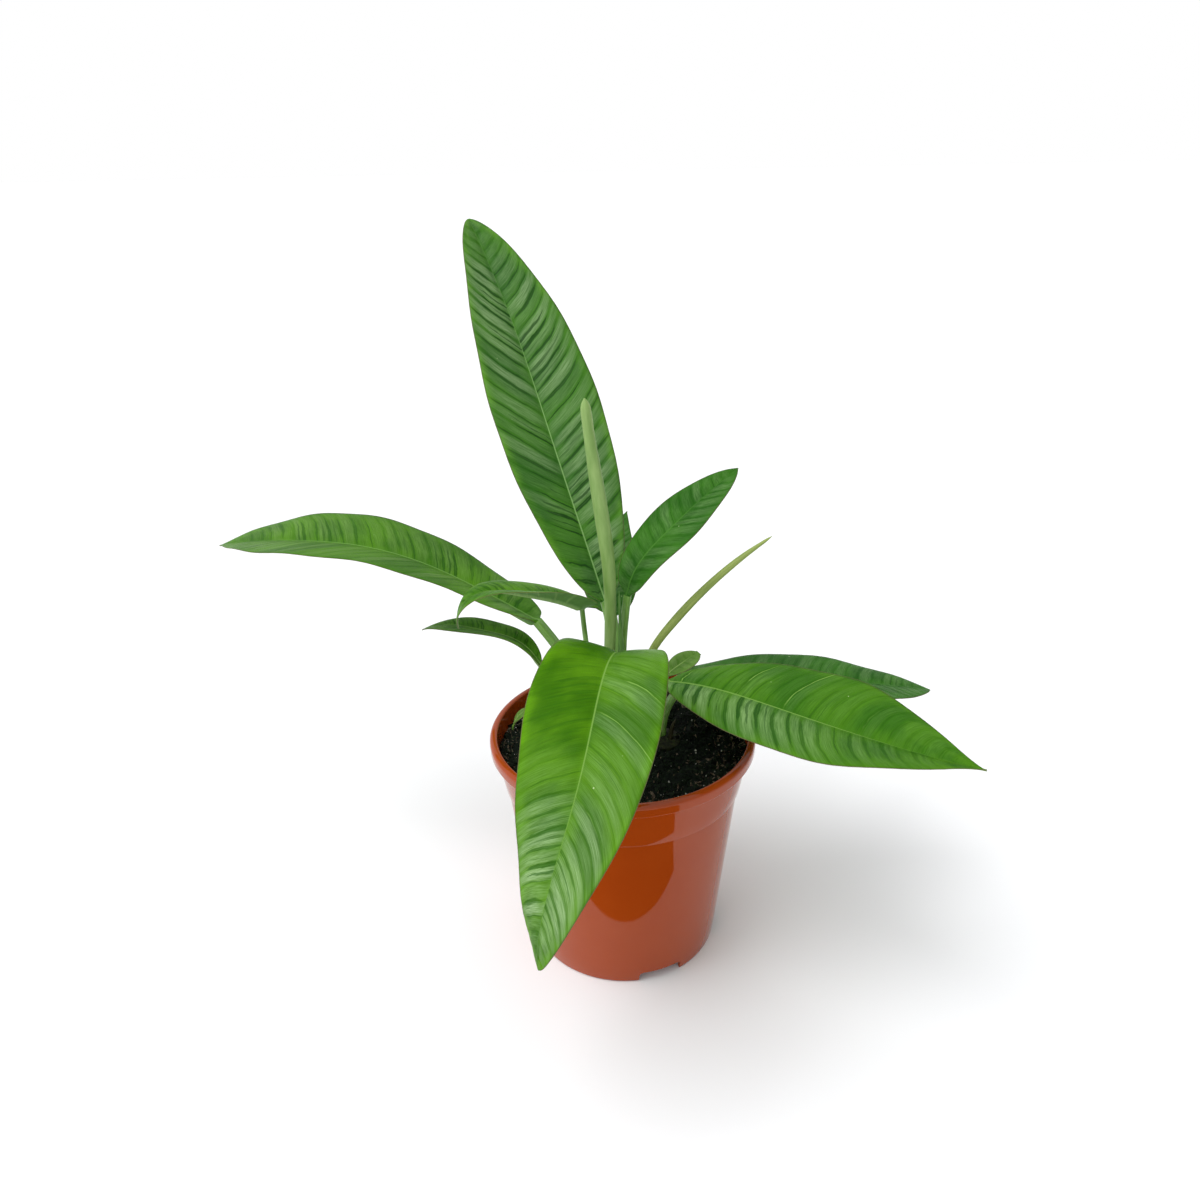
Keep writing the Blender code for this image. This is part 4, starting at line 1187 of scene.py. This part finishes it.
@dataclass(frozen=True)
class Scatter:
    """Loose grains that lie on the soil."""

    name: str
    density: float              # grains to a square metre
    smallest: float             # radius in millimetres
    largest: float
    stretch: Triple
    seed: int
    rim_bias: float = 1.0       # how many times denser they lie at the pot's wall

    SIZE_SEED = 7.0             # what the seed of the sizes adds to that of the places
    SMALLER = 2.5               # the higher, the more of the grains are small
    DENTS = (0.55, 1.25)        # least and greatest share of the radius
    DENT_SCALE = 1.3            # of the noise that makes them, on a ball of radius 1

    def build(self, bed: Object, finish: Material) -> None:
        """Scatter the grains over the bed in a node tree, and make them a plain mesh.

        Args:
            bed: the soil's surface.
            finish: the grains' material.
        """
        carrier = linked(self.name + "_bed", bed.data.copy())
        piece = self.maker().run(carrier, self.name, {
            "Density": self.density, "Smallest": self.smallest * MM, "Largest": self.largest * MM,
            "Stretch": self.stretch, "Seed": self.seed, "Rim bias": self.rim_bias, "Finish": finish})
        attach(piece, BODY)
        LOG.info("%s: %d faces", piece.name, len(piece.data.polygons))

    def maker(self) -> Maker:
        """The tree that scatters dented grains of 20 faces on a mesh."""
        maker = Maker("grains", {"Density": "Float", "Smallest": "Float", "Largest": "Float",
                                 "Stretch": "Vector", "Seed": "Int", "Rim bias": "Float"})
        given = maker.given
        bias = maker.ramp(maker.named("rim"), wanted=(1.0, (given, "Rim bias")), smooth=False)
        points = maker.add("GeometryNodeDistributePointsOnFaces",
                           {"Mesh": (given, "Mesh"), "Density": maker.product(bias, (given, "Density")),
                            "Seed": (given, "Seed")})
        ball = maker.add("GeometryNodeMeshIcoSphere", {"Radius": 1.0, "Subdivisions": 1})
        spot = maker.add("GeometryNodeInputPosition")
        dents = maker.ramp(maker.noise(spot, self.DENT_SCALE, 1.0), (0.3, 0.7), self.DENTS, smooth=False)
        stone = maker.add("GeometryNodeSetPosition", {"Geometry": ball,
                                                      "Position": maker.scaled(spot, dents)})
        shaped = maker.add("GeometryNodeTransform", {"Geometry": stone, "Scale": (given, "Stretch")})
        turn = maker.add("FunctionNodeRandomValue",
                         {"Min": (0.0, 0.0, 0.0), "Max": (math.tau,) * 3, "Seed": (given, "Seed")},
                         data_type="FLOAT_VECTOR")
        size_seed = maker.maths("ADD", (given, "Seed"), self.SIZE_SEED)
        luck = maker.add("FunctionNodeRandomValue", {"Min": 0.0, "Max": 1.0, "Seed": size_seed},
                         data_type="FLOAT")
        size = maker.ramp(maker.maths("POWER", luck, self.SMALLER),
                          wanted=((given, "Smallest"), (given, "Largest")), smooth=False)
        maker.close(maker.add("GeometryNodeInstanceOnPoints",
                              {"Points": (points, "Points"), "Instance": shaped, "Rotation": turn,
                               "Scale": size}))
        return maker


@dataclass(frozen=True)
class Soil:
    """The potting mix: a crumbly closed body with loose grains on it."""

    pot: Pot
    level: float = 118.2
    bump: float = 1.1
    crumble: float = 3.2        # height of the crumbs' relief
    gap: float = 0.3
    rings: int = 84
    spokes: int = 256

    WALL_HEIGHTS = (101.5, 97.0, 60.0)
    FOOT_EDGE = (3.0, 2.0)      # how far in and up its foot is cut off
    RIM_ZONE = 42.0             # radius from which on there are more grains
    CRUMBS = ((0.35, 0.13, 3.0), (0.45, 0.38, 7.0), (0.30, 0.95, 11.0))     # share, pitch and seed
    SINK = 0.4

    def height(self, x: float, y: float) -> float:
        """The surface's height: the solid's slow ripples, with crumbs of 2 to 8 mm on them."""
        ripple = math.sin(0.21 * x + 1.3) * math.cos(0.17 * y) + 0.6 * math.sin(0.37 * y - 0.23 * x + 0.4)
        slow = self.level + self.bump * ripple * min(1.0, math.hypot(x, y) / 30.0)
        crumbs = sum(share * noise.noise(Vector((x, y, seed)) * pitch)
                     for share, pitch, seed in self.CRUMBS)
        return slow + self.crumble * crumbs - self.SINK

    def build(self, mix: Material, grains: list[tuple[Scatter, Material]]) -> None:
        """Build the soil's body and its grains.

        Args:
            mix: the soil's material.
            grains: each kind of grain with its material.
        """
        edge = self.pot.wall_radius(self.level) - self.pot.wall - self.gap
        radii = np.linspace(0.0, edge, self.rings + 1)[1:]
        angles = np.linspace(0.0, math.tau, self.spokes, endpoint=False)
        points = [(0.0, 0.0, self.height(0.0, 0.0))]
        for radius in radii:
            for angle in angles:
                x, y = polar(radius, angle)
                points.append((x, y, self.height(x, y)))
        top_count = len(points)
        floor_z = self.pot.floor_z + self.pot.wall + self.gap
        inset, step = self.FOOT_EDGE
        walls = [(z, 0.0) for z in (*self.WALL_HEIGHTS, floor_z + step)] + [(floor_z, inset)]
        for z, inset in walls:
            radius = self.pot.wall_radius(z) - self.pot.wall - self.gap - inset
            points += [(*polar(radius, a), z) for a in angles]
        points.append((0.0, 0.0, floor_z))
        n = self.spokes
        faces = [(0, 1 + i, 1 + (i + 1) % n) for i in range(n)]
        ring_count = self.rings + len(walls)
        for ring in range(ring_count - 1):
            start = 1 + ring * n
            faces += [(start + i, start + n + i, start + n + (i + 1) % n, start + (i + 1) % n)
                      for i in range(n)]
        last = 1 + (ring_count - 1) * n
        faces += [(len(points) - 1, last + (i + 1) % n, last + i) for i in range(n)]
        body = mesh_object("soil_fine", np.array(points), faces, [mix])
        settle(body, "soil")

        top_faces = [face for face in faces if max(face) < top_count]
        bed = mesh_object("soil_bed", np.array(points[:top_count]), top_faces, [])
        far = np.hypot(*np.array(points[:top_count])[:, :2].T)
        rim = np.clip((far - self.RIM_ZONE) / (edge - self.RIM_ZONE), 0, 1)
        bed.data.attributes.new("rim", "FLOAT", "POINT").data.foreach_set("value", rim)
        for scatter, finish in grains:
            scatter.build(bed, finish)
        bpy.data.objects.remove(bed)


# Studio

@dataclass(frozen=True)
class Studio:
    """A pale floor, soft light from the upper left and the photograph's camera."""

    lens: float = 30.0
    camera_place: Triple = (-10.5, -452.6, 409.8)
    pitch_down: float = 24.66
    camera_roll: float = -1.09
    key_direction: Triple = (-0.45, -0.28, 1.0)
    key_strength: float = 1.5
    key_spread: float = 38.0
    sky_direction: Triple = (-0.70, -0.15, 0.70)
    sky: Pair = (0.22, 1.1)     # its strength away from that direction and in it
    flag: tuple[Pair, ...] = ((-330.0, -420.0), (330.0, -420.0), (79.0, -88.0),
                                             (-330.0, -88.0))
    floor_size: float = 30.0    # in metres
    sensor: float = 36.0

    def build(self) -> None:
        """Make the floor, a dark flag that only gloss sees, the lights and the camera."""
        scene = bpy.context.scene
        scene.view_settings.view_transform = "Standard"
        bpy.ops.mesh.primitive_plane_add(size=self.floor_size, location=(0.0, 0.0, 0.0))
        floor = bpy.context.active_object
        floor.name = "floor"
        floor.data.materials.append(Finish("floor_white_matt_board").done(
            {"Base Color": colour("#f3f4f6"), "Roughness": 0.9, "Specular IOR Level": 0.1}))

        # A black card just above the floor in front of the pot, seen only by gloss, gives the pot's front
        # a dark reflection where it would mirror the white floor
        card = bpy.data.meshes.new("flag")
        card.from_pydata([((x + POT_AXIS[0]) * MM, (y + POT_AXIS[1]) * MM, MM) for x, y in self.flag],
                         [], [(0, 1, 2, 3)])
        card.materials.append(Finish("flag_black_velvet").done(
            {"Base Color": colour("#0a0a0a"), "Roughness": 1.0}))
        flag = linked("flag", card)
        for use in ("camera", "diffuse", "shadow", "transmission"):
            setattr(flag, "visible_" + use, False)

        world = bpy.data.worlds.new("studio")
        scene.world = world
        world.use_nodes = True
        nodes = Nodes(world.node_tree)
        seen = nodes.add("ShaderNodeLightPath")
        where = (nodes.add("ShaderNodeTexCoord"), "Generated")
        lean = (nodes.vector("DOT_PRODUCT", where, self.sky_direction), "Value")
        power = nodes.ramp(lean, (-1.0, 1.0), self.sky, smooth=False)
        power = nodes.add("ShaderNodeMix", {"Factor": (seen, "Is Camera Ray"), "A": power, "B": 1.0})
        feed(world.node_tree.nodes["Background"], {"Strength": power, "Color": (1.0,) * 4})

        lamp = bpy.data.lights.new("key", "SUN")
        lamp.energy = self.key_strength
        lamp.angle = math.radians(self.key_spread)
        key = linked("key", lamp)
        key.rotation_mode = "QUATERNION"
        key.rotation_quaternion = Vector(self.key_direction).to_track_quat("Z", "Y")

        eye = bpy.data.cameras.new("camera")
        eye.lens = self.lens
        eye.sensor_width = self.sensor
        eye.clip_start = 0.01
        camera = linked("camera", eye)
        camera.matrix_world = (Matrix.Translation((np.array(self.camera_place) + POT_AXIS) * MM)
                               @ Matrix.Rotation(math.radians(90 - self.pitch_down), 4, "X")
                               @ Matrix.Rotation(math.radians(self.camera_roll), 4, "Z"))
        scene.camera = camera


LEAVES = (
    Leaf("leaf_upright", Skin.WAXY_SHEEN, root=(-12.6, 9.6), base=(-8, 25, 189.5), length=222, width=65.5,
         heading=(123, 121, 133), climb=(59, 55.5, 56, 53), widest=0.47, fullness=(0.55, 0.59),
         roll=(2, -6), fold_left=(17, 24), fold_right=(17, 22), veins=26, stalk=5.6,
         quilt=(0.4, 0.55)),
    Leaf("leaf_behind", Skin.DEEP, root=(-3.8, 11.2), base=(-3, 51.5, 168.5), length=107, width=33,
         heading=(96, 84, 72), climb=(25, 8.5, 15, 16), widest=0.34, fullness=(0.60, 0.87),
         roll=(1, -1), fold_left=(14, 3), fold_right=(19, 9), veins=14, stalk=4.4),
    Leaf("leaf_right_rear", Skin.DEEP, root=(0.6, 7.4), base=(3, 0.5, 204), length=94.5, width=31,
         heading=(41, 36, 45), climb=(80, 42, 28, 15), widest=0.45, fullness=(0.56, 0.76),
         roll=(-2, 7), fold_left=(10, 22), fold_right=(2, 12), veins=13, stalk=5.0,
         quilt=(0.2, 0.25)),
    Leaf("leaf_left_long", Skin.MID, root=(-16.6, 3.5), base=(-43.5, 25, 179), length=228,
         width=60, heading=(155, 160, 139), climb=(20.5, 19.4, -4.4, -19), widest=0.53,
         fullness=(0.38, 1.07), roll=(9, -12), fold_left=(17, 18), fold_right=(12, 23), veins=26,
         stalk=7.4, lobes=(0, 4), stalk_climb=46),
    Leaf("leaf_left_low", Skin.LIGHT, root=(-17.6, -3.4), base=(-42.5, 15.5, 157), length=104.5,
         width=20.5, heading=(136, 140, 136), climb=(50, 6, -10, -31), widest=0.47,
         fullness=(0.59, 1.0), roll=(12, -14), fold_left=(26, 7), fold_right=(19, 12), veins=13,
         stalk=3.2, wave=0.2),
    Leaf("leaf_left_folded", Skin.LIGHT, root=(-13.2, -9.4), base=(-19, -9.5, 201.7), length=75.5,
         width=38, heading=(180, 194, 184), climb=(28, 18, 5, -104), widest=0.36,
         fullness=(0.42, 0.80), roll=(26, 2), fold_left=(28, 2), fold_right=(30, 4), veins=11,
         stalk=3.6, lobes=(8, 15), stalk_climb=86, quilt=(0.25, 0.25)),
    Leaf("leaf_front", Skin.FRONT, root=(-4.4, -10.8), base=(-0.5, -20, 181), length=182,
         width=61, heading=(-104, -104.5, -148), climb=(43, -3.5, -39, -92), widest=0.34,
         fullness=(0.52, 0.62), roll=(4, 2), fold_left=(12, 1), fold_right=(24, -2), veins=23,
         stalk=5.6, lobes=(0, 4.5), quilt=(0.15, 0.9), wave=0.6, slant=(0.6, 0.36)),
    Leaf("leaf_right_front", Skin.RIGHT, root=(16.2, -1.2), base=(23, -2.4, 156.2), length=159,
         width=74, heading=(-34, -26, -23), climb=(15, -1, -7.5, -2), widest=0.55,
         fullness=(0.54, 1.2), roll=(5, -4), fold_left=(11, 27), fold_right=(0, 22), veins=21,
         stalk=5.2, reach=(0.6, 0.4), quilt=(0.6, 0.25), slant=(0.46, 0.34), arch=0.75),
    Leaf("leaf_right_back", Skin.DEEP, root=(20.5, 4.5), base=(31.5, 14.5, 143), length=157,
         width=56, heading=(15, 10, 26), climb=(-6, -2, -12, -21), widest=0.39,
         fullness=(0.32, 0.75), roll=(-7, 7), fold_left=(13, 10), fold_right=(13, 11), veins=20,
         stalk=6.2, reach=(0.25, 0.5), stalk_climb=44),
    Leaf("leaf_small_blunt", Skin.YOUNG, root=(17.5, 9.8), base=(23.4, 9.6, 152.5), length=22,
         width=17, heading=(23, 23, 23), climb=(42, 32, 24, 16), widest=0.55, fullness=(0.6, 0.5),
         roll=(0, 0), fold_left=(12, 8), fold_right=(12, 8), veins=5, stalk=2.8, wave=0.2,
         quilt=(0.15, 0.15), tip_width=5.0),
    Leaf("leaf_tiny", Skin.YOUNG, root=(-59.6, 15.8), base=(-58.6, 16.2, 121.5), length=13,
         width=7, heading=(20, 20, 20), climb=(70, 52, 34, 20), widest=0.5, fullness=(0.6, 0.8),
         roll=(0, 0), fold_left=(10, 6), fold_right=(10, 6), veins=3, stalk=1.6, wave=0.0, sink=5.0),
)
DRY_SHEATH = RolledSkin("sheath_dry_brown_skin", pale="#3d3a20", green="#23210f")
PALE_ROLL = RolledSkin("rolled_leaf_waxy_bloom", pale="#8baa60", green="#729548")
OLIVE_ROLL = RolledSkin("rolled_leaf_olive_bloom", pale="#9aab58", green="#7b9040")
SHEATH = RolledSkin("sheath_green_skin", pale="#6a9446", green="#33631b")
ROLLS = (
    (RolledLeaf("spear_centre",
                points=((-8.5, -2.0, 111.4, 4.4), (-8.5, -2.0, 126, 4.4), (-7.3, -3.2, 152, 5.4),
                        (-5.8, -4.2, 182, 6.0), (-5.4, -4.2, 204, 6.2), (-6.2, -4.1, 225, 7.0),
                        (-8.4, -3.7, 244, 7.4), (-11.0, -3.4, 264, 7.0), (-13.9, -3.1, 286, 5.6),
                        (-15.4, -2.9, 300, 5.0), (-15.8, -2.9, 304, 4.4))), PALE_ROLL),
    (RolledLeaf("spear_right",
                points=((3.8, 0.8, 111.4, 3.6), (3.8, 0.8, 124, 3.6), (7.2, 2.4, 145, 3.6),
                        (12.8, 4.6, 164, 3.8), (18.4, 6.3, 174, 4.2), (28.6, 9.2, 186.4, 4.6),
                        (42.8, 13.8, 200.2, 4.2), (62.2, 20.2, 215.0, 3.2), (78.3, 25.5, 224.5, 1.2))),
     OLIVE_ROLL),
    (RolledLeaf("bract_centre",
                points=((-1.4, -5.0, 111.4, 2.8), (-1.4, -5.0, 124, 3.0), (-0.7, -5.4, 150, 3.8),
                        (-0.4, -6.0, 178, 2.8), (-1.1, -7.0, 210, 0.8))), SHEATH),
    (RolledLeaf("bract_side",
                points=((25.6, 0.6, 111.4, 2.8), (25.6, 0.6, 121, 2.8), (26.6, -0.6, 128, 2.2),
                        (28.2, -2.0, 134, 0.9))), DRY_SHEATH),
)


def main() -> None:
    """Build every piece around the frame and report it."""
    logging.basicConfig(level=logging.INFO, format="%(message)s")
    Studio().build()
    pot = Pot()
    pot.build(Polypropylene().material())
    mix = Crumb("soil_damp_potting_mix", dark="#020502", light="#0d190c", grain=3.5).material()
    peat = Crumb("grain_dark_peat", dark="#030603", light="#182413", grain=2.5).material()
    bark = Crumb("grain_composted_bark", dark="#382c1c", light="#7c7060", grain=1.5).material()
    perlite = Crumb("grain_expanded_perlite", dark="#8f8d86", light="#d6d4cc", grain=0.8).material()
    Soil(pot).build(mix, [
        (Scatter("soil_peat_crumbs", density=120000, smallest=0.5, largest=3.0,
                 stretch=(1.0, 0.8, 0.7), seed=11), peat),
        (Scatter("soil_bark_chips", density=20000, smallest=0.3, largest=1.5,
                 stretch=(2.4, 0.6, 0.4), seed=23, rim_bias=12.0), bark),
        (Scatter("soil_perlite", density=9000, smallest=0.2, largest=0.9,
                 stretch=(1.0, 0.85, 0.8), seed=37, rim_bias=6.0), perlite)])
    skins = {skin: skin.value.material() for skin in Skin}
    back = LeafBack().material()
    petiole = Petiole().material()
    for leaf in LEAVES:
        leaf.build(skins, back, petiole)
    for roll, finish in ROLLS:
        roll.build(finish.material())
    crown = Crumb("crown_corky_stem_skin", dark="#0a0b06", light="#2c3016", grain=3.0,
                  roughness=0.7).material()
    for name in ("crown_main", "crown_side"):
        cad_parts[name].data.materials.clear()
        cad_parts[name].data.materials.append(crown)


if __name__ == "__main__":
    main()
